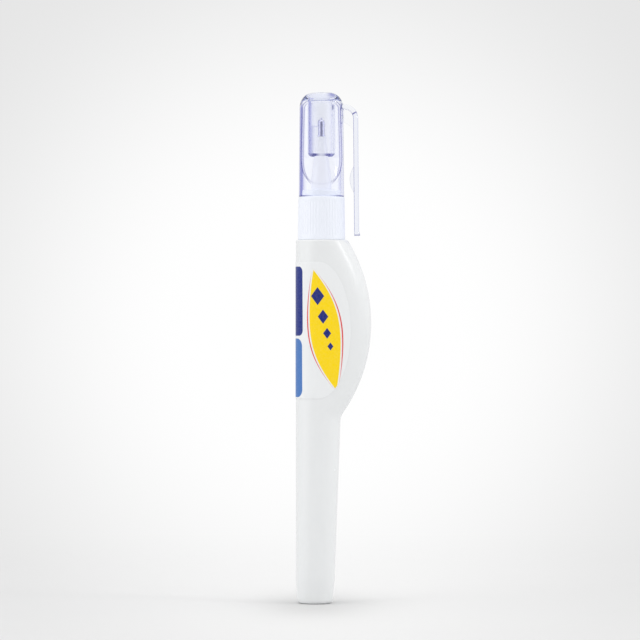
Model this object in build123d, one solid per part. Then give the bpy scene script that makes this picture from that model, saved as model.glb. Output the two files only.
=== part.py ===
from build123d import *
import math
import os

os.makedirs("parts", exist_ok=True)

# The pen stands on its tail: +Z runs to the cap, +X to the belly and clip. Millimetres.

# General fits
FIT = 0.02                # gap of pieces that are pressed or clamped together
RUN_FIT = 0.08            # gap of pieces that slide on each other
SEAT_GAP = 0.05           # gap under the cap's rim and under the ball

# Bottle: a round barrel with a straight spine that widens to the shoulder, and a belly on its other side
SHOULDER_Z = 103.2
TAIL_DIAMETER = 10.8
SHOULDER_DIAMETER = 14.5
BOTTLE_WALL = 1.0
TAIL_WALL = 1.4
SHOULDER_WALL = 1.2
TAIL_TAPER = 0.4
TAIL_TAPER_HEIGHT = 7.0
TAIL_EDGE_RADIUS = 1.0
SHOULDER_EDGE_RADIUS = 0.5
BELLY_REACH = 21.4        # from the spine to the belly's widest point
BELLY_RADIUS = 44.8       # of the belly's outline seen from the side
BELLY_DROP = 23.6         # widest point below the shoulder
BELLY_SECTIONS = 11
NECK_DIAMETER = 10.6
NECK_BORE = 8.0
NECK_HEIGHT = 7.3
BEAD_HEIGHT = 1.6
BEAD_DEPTH = 0.25

# Label film round the spine, with an oval end on the front and on the back
LABEL_THICKNESS = 0.12
LABEL_DROP = 25.6         # middle of the label below the shoulder
LABEL_HALF_HEIGHT = 19.3
LABEL_OVAL_REACH = 9.2
LABEL_OVAL_X = 6.3        # centre of the oval from the spine

# Collar
COLLAR_BASE_DIAMETER = 13.45
COLLAR_TOP_DIAMETER = 13.1
COLLAR_DECK = 3.9
COLLAR_RIM = 0.9
RIB_COUNT = 48
RIB_DEPTH = 0.2
RIB_CREST = 0.36          # share of the pitch
RIB_VALLEY = 0.28
SPIGOT_DIAMETER = 11.04
SPIGOT_HEIGHT = 1.9
SPIGOT_EDGE = 0.4

# Nozzle
FLANGE_DIAMETER = 9.8
FLANGE_THICKNESS = 1.0
PLUG_LENGTH = 6.0
PLUG_WALL = 0.95
NOZZLE_BASE_DIAMETER = 5.7
NOZZLE_BASE_HEIGHT = 4.5  # straight base above the collar
NOZZLE_FRONT_DIAMETER = 2.8
NOZZLE_CONE_HEIGHT = 11.1
NOZZLE_FRONT_HEIGHT = 1.5
VALVE_BORE = 3.4
VALVE_WEB = 0.5           # web of the nozzle below the top of the neck

# Metal tip
TIP_DIAMETER = 1.85
TIP_BORE = 0.9
TIP_LENGTH = 4.8
TIP_SHANK = 8.9
TIP_CONE = 0.45
TIP_MOUTH_DIAMETER = 0.66
TIP_MOUTH_DEPTH = 0.8
TIP_MOUTH_RIM = 0.9
TIP_FLANGE_DIAMETER = 2.16
TIP_FLANGE_THICKNESS = 0.4
TIP_SEAT_HEIGHT = 0.3

# Valve
POINT_REACH = 0.62        # needle point beyond the tip
NEEDLE_POINT_DIAMETER = 0.5
NEEDLE_DIAMETER = 0.76
NEEDLE_HEAD_DIAMETER = 2.9
NEEDLE_HEAD_THICKNESS = 0.8
NEEDLE_HEAD_DROP = 0.8    # head below the tip's shank
NEEDLE_TAIL_DIAMETER = 1.2
NEEDLE_TAIL_LENGTH = 3.0
SPRING_DIAMETER = 2.4
SPRING_WIRE = 0.28
SPRING_TURNS = 10
RETAINER_THICKNESS = 1.4
RETAINER_BORE = 0.9
RETAINER_SLOTS = 4
RETAINER_SLOT_WIDTH = 0.55
RETAINER_RIM = 0.35

# Mixing ball
BALL_DIAMETER = 5.0

# Cap
CAP_RIM_DIAMETER = 12.9
CAP_TOP_DIAMETER = 12.45
CAP_CORNER_WIDTH = 3.7    # the top edge is a quarter ellipse
CAP_CORNER_HEIGHT = 4.3
CAP_TOP_WALL = 2.3
CAP_DRAFT = 0.15          # the bore narrows by this towards the top
CAP_INNER_RADIUS = 1.8
FACET_DEPTH = 5.62        # from the axis to the middle of a facet
FACET_CROWN = 7.05        # facets are domed
FACET_WALL = 0.9
FACET_CLEAR = 9.8         # start of the run-out above the spigot
FACET_RUNOUT = 43.0
TUBE_BORE = 6.1
TUBE_WALL = 0.78
TUBE_LENGTH = 15.8
TUBE_LEAD = 0.7           # height of the slanted end of the tube
TUBE_LIP = 0.15           # flat that is left at that end

# Seal in the cap
SEAL_CROWN = 4.78         # solid part over the needle point
SEAL_GRIP = 1.9           # sleeve round the tip
SEAL_GAP = 0.1

# Clip
CLIP_GAP = 2.6            # from the cap's rim to the blade
CLIP_THICKNESS = 1.4
CLIP_WIDTH = 4.2
CLIP_LEAN = 0.25
CLIP_DROP = 4.6           # top of the blade below the top of the cap
CLIP_OVERHANG = 11.1      # foot below the cap's rim
CLIP_KNEE = 2.7
KNEE_BOW_OUT = 0.68       # middle of the knee, as shares of the blade's thickness and the knee's height
KNEE_BOW_DOWN = 0.42
CLIP_FOOT_HEIGHT = 1.3
CLIP_FOOT_DEPTH = 0.3
CLIP_EDGE = 0.3
BUMP_RISE = 4.9           # middle of the bump above the cap's rim
BUMP_LENGTH = 7.4
BUMP_DEPTH = 1.13
BUMP_WIDTH = 1.6
ARM_THICKNESS = 1.5
ARM_RISE = 1.3            # the arm climbs by this from the blade to the cap
ARM_BOW = 0.75            # share of the rise at the arm's middle
ARM_SINK = 0.6            # the arm runs this far into the cap's wall
WEB_WIDTH = 1.2
WEB_HEIGHT_CAP = 3.6
WEB_HEIGHT_BLADE = 4.3

# Derived places
TAIL_R = TAIL_DIAMETER / 2
SHOULDER_R = SHOULDER_DIAMETER / 2
SPINE_X = -TAIL_R
WIDENING = (SHOULDER_R - TAIL_R) / SHOULDER_Z
NECK_X = SPINE_X + SHOULDER_R
BELLY_APEX_Z = SHOULDER_Z - BELLY_DROP
BELLY_CENTRE_X = SPINE_X + BELLY_REACH - BELLY_RADIUS
NECK_TOP_Z = SHOULDER_Z + NECK_HEIGHT
FLANGE_TOP_Z = NECK_TOP_Z + FLANGE_THICKNESS
COLLAR_TOP_Z = FLANGE_TOP_Z + FIT + COLLAR_DECK
SPIGOT_TOP_Z = COLLAR_TOP_Z + SPIGOT_HEIGHT
CONE_Z = COLLAR_TOP_Z + NOZZLE_BASE_HEIGHT
CONE_TOP_Z = CONE_Z + NOZZLE_CONE_HEIGHT
NOZZLE_TOP_Z = CONE_TOP_Z + NOZZLE_FRONT_HEIGHT
TIP_TOP_Z = NOZZLE_TOP_Z + TIP_LENGTH
SHANK_Z = NOZZLE_TOP_Z - TIP_SHANK
POINT_Z = TIP_TOP_Z + POINT_REACH
HEAD_TOP_Z = SHANK_Z - NEEDLE_HEAD_DROP
HEAD_Z = HEAD_TOP_Z - NEEDLE_HEAD_THICKNESS
RETAINER_Z = NECK_TOP_Z - VALVE_WEB
RETAINER_TOP_Z = RETAINER_Z + RETAINER_THICKNESS
CEILING_Z = POINT_Z + SEAL_CROWN
CAP_TOP_Z = CEILING_Z + CAP_TOP_WALL
CAP_RIM_Z = COLLAR_TOP_Z + SEAT_GAP
CAP_RIM_R = CAP_RIM_DIAMETER / 2
CAP_TOP_R = CAP_TOP_DIAMETER / 2
CAP_BORE_R = SPIGOT_DIAMETER / 2 + RUN_FIT
RUNOUT_Z = SPIGOT_TOP_Z + FACET_CLEAR
BLADE_X = NECK_X + CAP_RIM_R + CLIP_GAP
CLIP_TOP_Z = CAP_TOP_Z - CLIP_DROP
CLIP_FOOT_Z = CAP_RIM_Z - CLIP_OVERHANG
NECK_AXIS = Axis((NECK_X, 0, 0), (0, 0, 1))
QUARTER = 90
DIAGONAL = math.sqrt(2) / 2


def belly_ends():
    """Heights where the belly's arc leaves the barrel's right-hand line."""
    offset = TAIL_R - BELLY_CENTRE_X
    a = 1 + 4 * WIDENING ** 2
    b = 4 * WIDENING * offset - 2 * BELLY_APEX_Z
    c = offset ** 2 + BELLY_APEX_Z ** 2 - BELLY_RADIUS ** 2
    root = math.sqrt(b ** 2 - 4 * a * c)
    return (-b - root) / (2 * a), min((-b + root) / (2 * a), SHOULDER_Z)


FOOT_Z, BELLY_TOP_Z = belly_ends()


def barrel_radius(z):
    """Radius of the round barrel, without the small taper at the tail."""
    return TAIL_R + WIDENING * z


def barrel_section(z, inset):
    """Round section of the barrel; its left side stays on the spine."""
    taper = TAIL_TAPER * max(0, 1 - z / TAIL_TAPER_HEIGHT)
    centre = barrel_radius(z) - TAIL_R
    return Pos(centre, 0, z) * Circle(barrel_radius(z) - taper - inset)


def belly_section(z, inset):
    """Egg section: a half circle at the spine and a half ellipse out to the belly's arc."""
    round_r = barrel_radius(z)
    centre = round_r - TAIL_R
    arc_x = BELLY_CENTRE_X + math.sqrt(BELLY_RADIUS ** 2 - (z - BELLY_APEX_Z) ** 2)
    reach = max(arc_x - centre, round_r) - inset
    half = round_r - inset
    quarters = []
    for start, along in ((0, reach), (QUARTER, half), (2 * QUARTER, half), (3 * QUARTER, reach)):
        quarters.append(EllipticalCenterArc((centre, 0), along, half, start, arc_size=QUARTER))
    return Pos(0, 0, z) * make_face(quarters)


def belly_block(inset, top):
    """The belly from its foot up to a height."""
    steps = BELLY_SECTIONS - 1
    heights = [FOOT_Z + (top - FOOT_Z) * i / steps for i in range(BELLY_SECTIONS)]
    return loft([belly_section(z, inset) for z in heights])


def barrel_block(inset, bottom):
    """The barrel from a height near the tail up to the belly's foot."""
    heights = (bottom, TAIL_TAPER_HEIGHT, FOOT_Z)
    return loft([barrel_section(z, inset) for z in heights], ruled=True)


def turned(points):
    """Solid turned round the neck's axis from a closed outline of (radius, height) points."""
    outline = Polyline(*[(NECK_X + r, 0, z) for r, z in points], close=True)
    return revolve(make_face(outline), NECK_AXIS)


def turned_edges(edges):
    """Solid turned round the neck's axis from edges drawn in (radius, height)."""
    return revolve(Pos(NECK_X, 0, 0) * (Plane.XZ * make_face(edges)), NECK_AXIS)


def rod(radius, bottom, top):
    """Round bar on the neck's axis."""
    return Pos(NECK_X, 0, (bottom + top) / 2) * Cylinder(radius, top - bottom)


def bead(radius, depth, extra):
    """Ridge round the neck, or the groove for it."""
    middle = SHOULDER_Z + NECK_HEIGHT / 2
    half = BEAD_HEIGHT / 2 + extra
    crest = (radius + depth, middle)
    return turned([(radius - BOTTLE_WALL / 2, middle - half), (radius, middle - half), crest,
                   (radius, middle + half), (radius - BOTTLE_WALL / 2, middle + half)])


def make_bottle():
    """Bottle with barrel, belly, shoulder and neck, hollow throughout."""
    outside = barrel_block(0, 0) + belly_block(0, BELLY_TOP_Z)
    inner_top = SHOULDER_Z - SHOULDER_WALL
    hollow = barrel_block(BOTTLE_WALL, TAIL_WALL) + belly_block(BOTTLE_WALL, min(inner_top, BELLY_TOP_Z))
    if BELLY_TOP_Z < SHOULDER_Z:
        outside += loft([barrel_section(z, 0) for z in (BELLY_TOP_Z, SHOULDER_Z)], ruled=True)
    if BELLY_TOP_Z < inner_top:
        hollow += loft([barrel_section(z, BOTTLE_WALL) for z in (BELLY_TOP_Z, inner_top)], ruled=True)
    outside = fillet(outside.edges().group_by(Axis.Z)[0], TAIL_EDGE_RADIUS)
    outside = fillet(outside.edges().group_by(Axis.Z)[-1], SHOULDER_EDGE_RADIUS)
    neck_r = NECK_DIAMETER / 2
    outside += rod(neck_r, inner_top, NECK_TOP_Z)
    outside += bead(neck_r, BEAD_DEPTH, 0)
    return outside - hollow - rod(NECK_BORE / 2, inner_top - BOTTLE_WALL, NECK_TOP_Z + BOTTLE_WALL)


def make_label():
    """Film on the belly's skin, cut to a band round the spine with oval ends."""
    middle = SHOULDER_Z - LABEL_DROP
    oval_x = SPINE_X + LABEL_OVAL_X
    film = belly_block(-LABEL_THICKNESS, BELLY_TOP_Z) - belly_block(0, BELLY_TOP_Z)
    left = SPINE_X - BOTTLE_WALL
    low, high = middle - LABEL_HALF_HEIGHT, middle + LABEL_HALF_HEIGHT
    outline = make_face([
        EllipticalCenterArc((oval_x, middle), LABEL_OVAL_REACH, LABEL_HALF_HEIGHT, -QUARTER,
                            arc_size=2 * QUARTER),
        Polyline((oval_x, high), (left, high), (left, low), (oval_x, low)),
    ])
    window = extrude(Plane.XZ * outline, SHOULDER_DIAMETER, both=True)
    return film & window


def rib_ring(radius, z):
    """Section of the ribbed grip: flat crests and flat valleys."""
    pitch = 2 * math.pi / RIB_COUNT
    valley_r = radius - RIB_DEPTH
    one_rib = ((-RIB_CREST / 2, radius), (RIB_CREST / 2, radius),
               ((1 - RIB_VALLEY) / 2, valley_r), ((1 + RIB_VALLEY) / 2, valley_r))
    points = []
    for i in range(RIB_COUNT):
        for share, r in one_rib:
            angle = pitch * (i + share)
            points.append((NECK_X + r * math.cos(angle), r * math.sin(angle), z))
    return make_face(Polyline(*points, close=True))


def collar_radius(z):
    """Outer radius of the collar at a height."""
    share = (z - SHOULDER_Z) / (COLLAR_TOP_Z - SHOULDER_Z)
    return (COLLAR_BASE_DIAMETER + (COLLAR_TOP_DIAMETER - COLLAR_BASE_DIAMETER) * share) / 2


def make_collar():
    """Ribbed collar over the neck, with a plain rim at each end and the spigot for the cap."""
    low, high = SHOULDER_Z + COLLAR_RIM, COLLAR_TOP_Z - COLLAR_RIM
    deck_z = COLLAR_TOP_Z - COLLAR_DECK
    spigot_r = SPIGOT_DIAMETER / 2
    ribs = loft([rib_ring(collar_radius(z), z) for z in (low, high)], ruled=True)
    rims = [turned([(0, a), (collar_radius(a), a), (collar_radius(b), b), (0, b)])
            for a, b in ((SHOULDER_Z, low), (high, COLLAR_TOP_Z))]
    spigot = turned([(0, deck_z), (spigot_r, deck_z), (spigot_r, SPIGOT_TOP_Z - SPIGOT_EDGE),
                     (spigot_r - SPIGOT_EDGE, SPIGOT_TOP_Z), (0, SPIGOT_TOP_Z)])
    collar = ribs + rims[0] + rims[1] + spigot
    bore_r = NECK_DIAMETER / 2 + FIT
    collar -= rod(bore_r, SHOULDER_Z - COLLAR_RIM, deck_z)
    collar -= bead(bore_r, BEAD_DEPTH, FIT)
    return collar - rod(NOZZLE_BASE_DIAMETER / 2 + FIT, SHOULDER_Z, SPIGOT_TOP_Z + COLLAR_RIM)


def make_nozzle():
    """Nozzle: plug in the neck, clamped flange, straight base, cone and short front."""
    plug_r = NECK_BORE / 2 - FIT
    plug_z = NECK_TOP_Z - PLUG_LENGTH
    base_r = NOZZLE_BASE_DIAMETER / 2
    front_r = NOZZLE_FRONT_DIAMETER / 2
    shank_r = TIP_DIAMETER / 2 + FIT
    bore_r = VALVE_BORE / 2
    return turned([
        (plug_r - PLUG_WALL, plug_z), (plug_r, plug_z), (plug_r, NECK_TOP_Z),
        (FLANGE_DIAMETER / 2, NECK_TOP_Z), (FLANGE_DIAMETER / 2, FLANGE_TOP_Z), (base_r, FLANGE_TOP_Z),
        (base_r, CONE_Z), (front_r, CONE_TOP_Z), (front_r, NOZZLE_TOP_Z), (shank_r, NOZZLE_TOP_Z),
        (shank_r, SHANK_Z), (bore_r, SHANK_Z), (bore_r, RETAINER_Z), (plug_r - PLUG_WALL, RETAINER_Z),
    ])


def make_tip():
    """Metal tip: shank in the nozzle, small flange on it, tube, cone and mouth."""
    tip_r, bore_r, mouth_r = TIP_DIAMETER / 2, TIP_BORE / 2, TIP_MOUTH_DIAMETER / 2
    flange_r = TIP_FLANGE_DIAMETER / 2
    mouth_z = TIP_TOP_Z - TIP_MOUTH_DEPTH
    return turned([
        (bore_r, SHANK_Z), (tip_r, SHANK_Z), (tip_r, NOZZLE_TOP_Z), (flange_r, NOZZLE_TOP_Z),
        (flange_r, NOZZLE_TOP_Z + TIP_FLANGE_THICKNESS), (tip_r, NOZZLE_TOP_Z + TIP_FLANGE_THICKNESS),
        (tip_r, TIP_TOP_Z - TIP_CONE), (TIP_MOUTH_RIM / 2, TIP_TOP_Z), (mouth_r, TIP_TOP_Z),
        (mouth_r, mouth_z), (bore_r, mouth_z - TIP_SEAT_HEIGHT),
    ])


def make_needle():
    """Needle: rounded point, seat cone, stem in the tip's bore, head on the spring and tail inside it."""
    point_r, stem_r = NEEDLE_POINT_DIAMETER / 2, NEEDLE_DIAMETER / 2
    head_r, tail_r = NEEDLE_HEAD_DIAMETER / 2, NEEDLE_TAIL_DIAMETER / 2
    seat_z = TIP_TOP_Z - TIP_MOUTH_DEPTH - TIP_SEAT_HEIGHT - RUN_FIT
    tail_z = HEAD_Z - NEEDLE_TAIL_LENGTH
    round_z = POINT_Z - point_r
    slant = point_r * DIAGONAL
    sides = Polyline((0, POINT_Z), (0, tail_z), (tail_r, tail_z), (tail_r, HEAD_Z), (head_r, HEAD_Z),
                     (head_r, HEAD_TOP_Z), (stem_r, HEAD_TOP_Z), (stem_r, seat_z),
                     (point_r, seat_z + TIP_SEAT_HEIGHT), (point_r, round_z))
    point = ThreePointArc((point_r, round_z), (slant, round_z + slant), (0, POINT_Z))
    return turned_edges([sides, point])


def make_spring():
    """Coil spring between the retainer and the needle's head."""
    bottom = RETAINER_TOP_Z + SPRING_WIRE / 2 + FIT
    top = HEAD_Z - SPRING_WIRE / 2 - FIT
    pitch = (top - bottom) / SPRING_TURNS
    print("spring gap between turns", round(pitch - SPRING_WIRE, 3))
    path = Pos(NECK_X, 0, bottom) * Helix(pitch, top - bottom, SPRING_DIAMETER / 2)
    wire = Plane(path @ 0, z_dir=path % 0) * Circle(SPRING_WIRE / 2)
    return sweep(wire, path, is_frenet=True)


def make_retainer():
    """Plug at the back of the valve bore, with slots for the fluid."""
    retainer_r = VALVE_BORE / 2 - FIT
    plug = rod(retainer_r, RETAINER_Z, RETAINER_TOP_Z)
    plug -= rod(RETAINER_BORE / 2, RETAINER_Z - FIT, RETAINER_TOP_Z + FIT)
    slot = Box(2 * (retainer_r - RETAINER_RIM), RETAINER_SLOT_WIDTH, RETAINER_THICKNESS + 2 * FIT)
    for i in range(RETAINER_SLOTS // 2):
        turn = Rot(0, 0, 4 * QUARTER * i / RETAINER_SLOTS)
        plug -= Pos(NECK_X, 0, (RETAINER_Z + RETAINER_TOP_Z) / 2) * turn * slot
    return plug


def make_ball():
    """Mixing ball at rest on the bottle's floor."""
    return Pos(0, 0, TAIL_WALL + SEAT_GAP + BALL_DIAMETER / 2) * Sphere(BALL_DIAMETER / 2)


def cap_block(rim_r, top_r, top_z, corner_width, corner_height):
    """Turned block from the cap's rim up to a flat top with a quarter ellipse as its corner."""
    flat_r = top_r - corner_width
    arc_z = top_z - corner_height
    return turned_edges([
        Polyline((flat_r, top_z), (0, top_z), (0, CAP_RIM_Z), (rim_r, CAP_RIM_Z), (top_r, arc_z)),
        EllipticalCenterArc((flat_r, arc_z), corner_width, corner_height, arc_size=QUARTER),
    ])


def facet_cutters(inset):
    """Rings that take off all outside the two domed facets, each with a curved run-out at its lower end."""
    crown = FACET_CROWN - inset
    runout = FACET_RUNOUT + inset
    out_r = crown + CAP_RIM_R - FACET_DEPTH + 2 * FACET_WALL
    angle = math.acos(1 - (out_r - crown) / runout)
    half = angle / 2
    start = (crown, RUNOUT_Z)
    middle = (crown + runout * (1 - math.cos(half)), RUNOUT_Z - runout * math.sin(half))
    end = (out_r, RUNOUT_Z - runout * math.sin(angle))
    high = CAP_TOP_Z + FACET_WALL
    sides = Polyline(end, (out_r, high), (crown, high), start)
    ring = revolve(Plane.XZ * make_face([ThreePointArc(start, middle, end), sides]), Axis.Z)
    block = Box(2 * crown, 2 * crown, high + FACET_WALL)
    cutters = []
    for side in (-1, 1):
        centre_y = -side * (FACET_CROWN - FACET_DEPTH)
        cutters.append(Pos(NECK_X, centre_y, 0) * ring & Pos(NECK_X, side * crown, high / 2) * block)
    return cutters


def make_arm():
    """Arm from the cap to the top of the clip, with a thin web below it."""
    root_x = NECK_X + CAP_TOP_R - ARM_SINK
    root_z = CLIP_TOP_Z + ARM_RISE
    mid_x, mid_z = (root_x + BLADE_X) / 2, CLIP_TOP_Z + ARM_RISE * ARM_BOW
    upper = ThreePointArc((root_x, root_z), (mid_x, mid_z), (BLADE_X, CLIP_TOP_Z))
    lower = ThreePointArc((BLADE_X, CLIP_TOP_Z - ARM_THICKNESS), (mid_x, mid_z - ARM_THICKNESS),
                          (root_x, root_z - ARM_THICKNESS))
    ends = [Line(upper @ 1, lower @ 0), Line(lower @ 1, upper @ 0)]
    arm = extrude(Plane.XZ * make_face([upper, ends[0], lower, ends[1]]), CLIP_WIDTH / 2, both=True)
    web_root = (root_x, root_z - ARM_THICKNESS - WEB_HEIGHT_CAP)
    web_end = (BLADE_X, CLIP_TOP_Z - ARM_THICKNESS - WEB_HEIGHT_BLADE)
    web_mid = (mid_x, (web_root[1] + web_end[1]) / 2 + WEB_WIDTH / 2)
    hollow = ThreePointArc(web_end, web_mid, web_root)
    web = make_face([upper, Line(upper @ 1, web_end), hollow, Line(web_root, upper @ 0)])
    return arm + extrude(Plane.XZ * web, WEB_WIDTH / 2, both=True)


def make_cap():
    """Clear cap: domed facets front and back, inner tube, clip arm and web."""
    outside = cap_block(CAP_RIM_R, CAP_TOP_R, CAP_TOP_Z, CAP_CORNER_WIDTH, CAP_CORNER_HEIGHT)
    hollow = cap_block(CAP_BORE_R, CAP_BORE_R - CAP_DRAFT, CEILING_Z, CAP_INNER_RADIUS, CAP_INNER_RADIUS)
    for cutter in facet_cutters(0):
        outside -= cutter
    for cutter in facet_cutters(FACET_WALL):
        hollow -= cutter
    tube_z = CEILING_Z - TUBE_LENGTH
    tube_r = TUBE_BORE / 2
    tube = turned([(tube_r, tube_z), (tube_r + TUBE_LIP, tube_z), (tube_r + TUBE_WALL, tube_z + TUBE_LEAD),
                   (tube_r + TUBE_WALL, CEILING_Z), (tube_r, CEILING_Z)])
    return outside + make_arm() - (hollow - tube)


def make_seal():
    """Soft plug in the tube that closes round the tip."""
    seal_r = TUBE_BORE / 2 - FIT
    hole_r = TIP_DIAMETER / 2 + SEAL_GAP
    rim_r = TIP_MOUTH_RIM / 2 + SEAL_GAP
    bottom = TIP_TOP_Z - SEAL_GRIP
    step_z = POINT_Z + SEAL_GAP
    return turned([
        (hole_r, bottom), (seal_r, bottom), (seal_r, CEILING_Z), (0, CEILING_Z), (0, step_z),
        (rim_r, step_z), (rim_r, TIP_TOP_Z + SEAL_GAP), (hole_r, TIP_TOP_Z - TIP_CONE + SEAL_GAP),
    ])


def make_clip():
    """Clip blade: bent knee at the top, bump towards the cap, thicker foot."""
    web_z = CLIP_TOP_Z - ARM_THICKNESS - WEB_HEIGHT_BLADE
    out_x = BLADE_X + CLIP_THICKNESS
    foot_x = BLADE_X + CLIP_LEAN
    foot_out = foot_x + CLIP_THICKNESS
    foot_z = CLIP_FOOT_Z + CLIP_FOOT_HEIGHT
    knee_mid = (BLADE_X + CLIP_THICKNESS * KNEE_BOW_OUT, CLIP_TOP_Z - CLIP_KNEE * KNEE_BOW_DOWN)
    knee = ThreePointArc((BLADE_X, CLIP_TOP_Z), knee_mid, (out_x, CLIP_TOP_Z - CLIP_KNEE))
    sides = Polyline((out_x, CLIP_TOP_Z - CLIP_KNEE), (foot_out, foot_z),
                     (foot_out + CLIP_FOOT_DEPTH, CLIP_FOOT_Z), (foot_x, CLIP_FOOT_Z), (foot_x, foot_z),
                     (BLADE_X, web_z), (BLADE_X, CLIP_TOP_Z))
    blade = extrude(Plane.XZ * make_face([knee, sides]), CLIP_WIDTH / 2, both=True)
    outer = [edge for edge in blade.edges() if edge.center().X > BLADE_X + CLIP_THICKNESS / 2]
    long_edges = [edge for edge in outer if edge.bounding_box().size.Y < FIT]
    blade = fillet(long_edges, CLIP_EDGE)
    bump_z = CAP_RIM_Z + BUMP_RISE
    share = (web_z - bump_z) / (web_z - foot_z)
    bump_x = BLADE_X + CLIP_LEAN * share
    inside = bump_x + CLIP_THICKNESS / 2
    half = BUMP_LENGTH / 2
    bump = make_face([
        ThreePointArc((bump_x, bump_z + half), (bump_x - BUMP_DEPTH, bump_z), (bump_x, bump_z - half)),
        Polyline((bump_x, bump_z - half), (inside, bump_z - half), (inside, bump_z + half),
                 (bump_x, bump_z + half)),
    ])
    return blade + extrude(Plane.XZ * bump, BUMP_WIDTH / 2, both=True)


MAKERS = {
    "squeeze_bottle": make_bottle,
    "wrap_label": make_label,
    "grip_collar": make_collar,
    "nozzle": make_nozzle,
    "metal_tip": make_tip,
    "valve_needle": make_needle,
    "valve_spring": make_spring,
    "spring_retainer": make_retainer,
    "mixing_ball": make_ball,
    "cap_shell": make_cap,
    "tip_seal": make_seal,
    "pocket_clip": make_clip,
}

for name, maker in MAKERS.items():
    solid = maker()
    export_step(solid, f"parts/{name}.step")
    box = solid.bounding_box()
    print(name, "volume", round(solid.volume, 2), "solids", len(solid.solids()),
          "z", round(box.min.Z, 2), round(box.max.Z, 2))
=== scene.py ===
import math

import bpy
import numpy as np
from bpy.props import FloatProperty, FloatVectorProperty, IntProperty, PointerProperty
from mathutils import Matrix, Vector


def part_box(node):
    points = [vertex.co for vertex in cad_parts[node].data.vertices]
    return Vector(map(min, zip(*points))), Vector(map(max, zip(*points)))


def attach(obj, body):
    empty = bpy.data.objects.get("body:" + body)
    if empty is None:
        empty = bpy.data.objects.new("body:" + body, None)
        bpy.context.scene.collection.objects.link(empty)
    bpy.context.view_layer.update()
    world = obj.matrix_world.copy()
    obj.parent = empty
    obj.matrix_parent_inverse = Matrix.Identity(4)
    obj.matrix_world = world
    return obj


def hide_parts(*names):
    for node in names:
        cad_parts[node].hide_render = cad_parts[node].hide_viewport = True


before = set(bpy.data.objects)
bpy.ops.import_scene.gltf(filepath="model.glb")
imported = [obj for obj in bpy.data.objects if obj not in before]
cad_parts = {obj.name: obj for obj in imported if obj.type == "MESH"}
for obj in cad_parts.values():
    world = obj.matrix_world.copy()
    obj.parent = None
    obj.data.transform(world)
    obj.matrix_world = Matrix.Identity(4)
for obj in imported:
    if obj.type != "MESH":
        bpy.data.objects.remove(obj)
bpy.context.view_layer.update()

bl_info = {
    "name": "Correction pen",
    "version": (1, 0, 0),
    "blender": (4, 5, 0),
    "location": "3D View > Sidebar > Correction pen",
    "description": "Builds the surfaces, finishes and studio of a squeeze correction pen round its CAD frame",
    "category": "Object",
}

MM = 0.001
TURN = 2 * math.pi
WHITE = (1.0, 1.0, 1.0)
FIT = 0.02 * MM  # gap of pieces that are pressed together

# Places read off the frame, in metres
BOTTLE_LOW, BOTTLE_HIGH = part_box("squeeze_bottle")
LABEL_LOW, LABEL_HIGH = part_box("wrap_label")
COLLAR_LOW, COLLAR_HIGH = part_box("grip_collar")
NOZZLE_LOW, NOZZLE_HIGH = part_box("nozzle")
TIP_LOW, TIP_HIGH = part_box("metal_tip")
POINT_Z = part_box("valve_needle")[1].z
CAP_LOW, CAP_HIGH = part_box("cap_shell")
SEAL_LOW, SEAL_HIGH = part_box("tip_seal")
CLIP_LOW, CLIP_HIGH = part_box("pocket_clip")
SPINE_X = BOTTLE_LOW.x
NECK_X = (COLLAR_LOW.x + COLLAR_HIGH.x) / 2
SHOULDER_Z = COLLAR_LOW.z
NECK_TOP_Z = BOTTLE_HIGH.z
RIM_Z = CAP_LOW.z
CEILING_Z = SEAL_HIGH.z


def length(name, description, value):
    """A size in metres that a user may change."""
    return FloatProperty(name=name, description=description, default=value, min=0.0, unit="LENGTH")


def colour(name, description, rgb):
    """A linear colour that a user may change."""
    return FloatVectorProperty(name=name, description=description, default=rgb, size=3, min=0.0, max=1.0,
                               subtype="COLOR")


def factor(name, description, value):
    """A share from 0 to 1."""
    return FloatProperty(name=name, description=description, default=value, min=0.0, max=1.0,
                         subtype="FACTOR")


def number(name, description, value, low=0.0):
    """A plain number from a lowest value up."""
    return FloatProperty(name=name, description=description, default=value, min=low)


class BottleSettings(bpy.types.PropertyGroup):
    """Squeeze bottle."""
    tail_diameter: length("Tail diameter", "Barrel at the tail", -2 * SPINE_X)
    shoulder_diameter: length("Shoulder diameter", "Round part at the shoulder", 2 * (NECK_X - SPINE_X))
    belly_x: length("Belly reach", "Widest point of the belly from the tail's axis", BOTTLE_HIGH.x)
    belly_radius: length("Belly radius", "Outline of the belly seen from the side", 44.8 * MM)
    belly_drop: length("Belly drop", "Widest point below the shoulder", 23.6 * MM)
    crease: length("Crease softness", "Rounding where the belly leaves the barrel", 0.7 * MM)
    wall: length("Wall", "Thickness of the bottle", 1.0 * MM)
    tail_wall: length("Tail wall", "Thickness of the floor", 1.4 * MM)
    shoulder_wall: length("Shoulder wall", "Thickness of the deck under the collar", 1.2 * MM)
    tail_taper: length("Tail taper", "Narrowing on each side at the tail", 0.4 * MM)
    taper_height: length("Taper height", "Height of the narrowing", 7.0 * MM)
    tail_edge: length("Tail edge", "Rounding of the tail", 1.0 * MM)
    shoulder_edge: length("Shoulder edge", "Rounding of the shoulder", 0.5 * MM)
    neck_diameter: length("Neck diameter", "Outside of the neck", 10.6 * MM)
    neck_bore: length("Neck bore", "Inside of the neck", 8.0 * MM)
    body_colour: colour("Bottle", "Soft greyish white plastic", (0.80, 0.813, 0.819))
    gloss: factor("Gloss", "Roughness of the bottle", 0.25)


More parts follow.
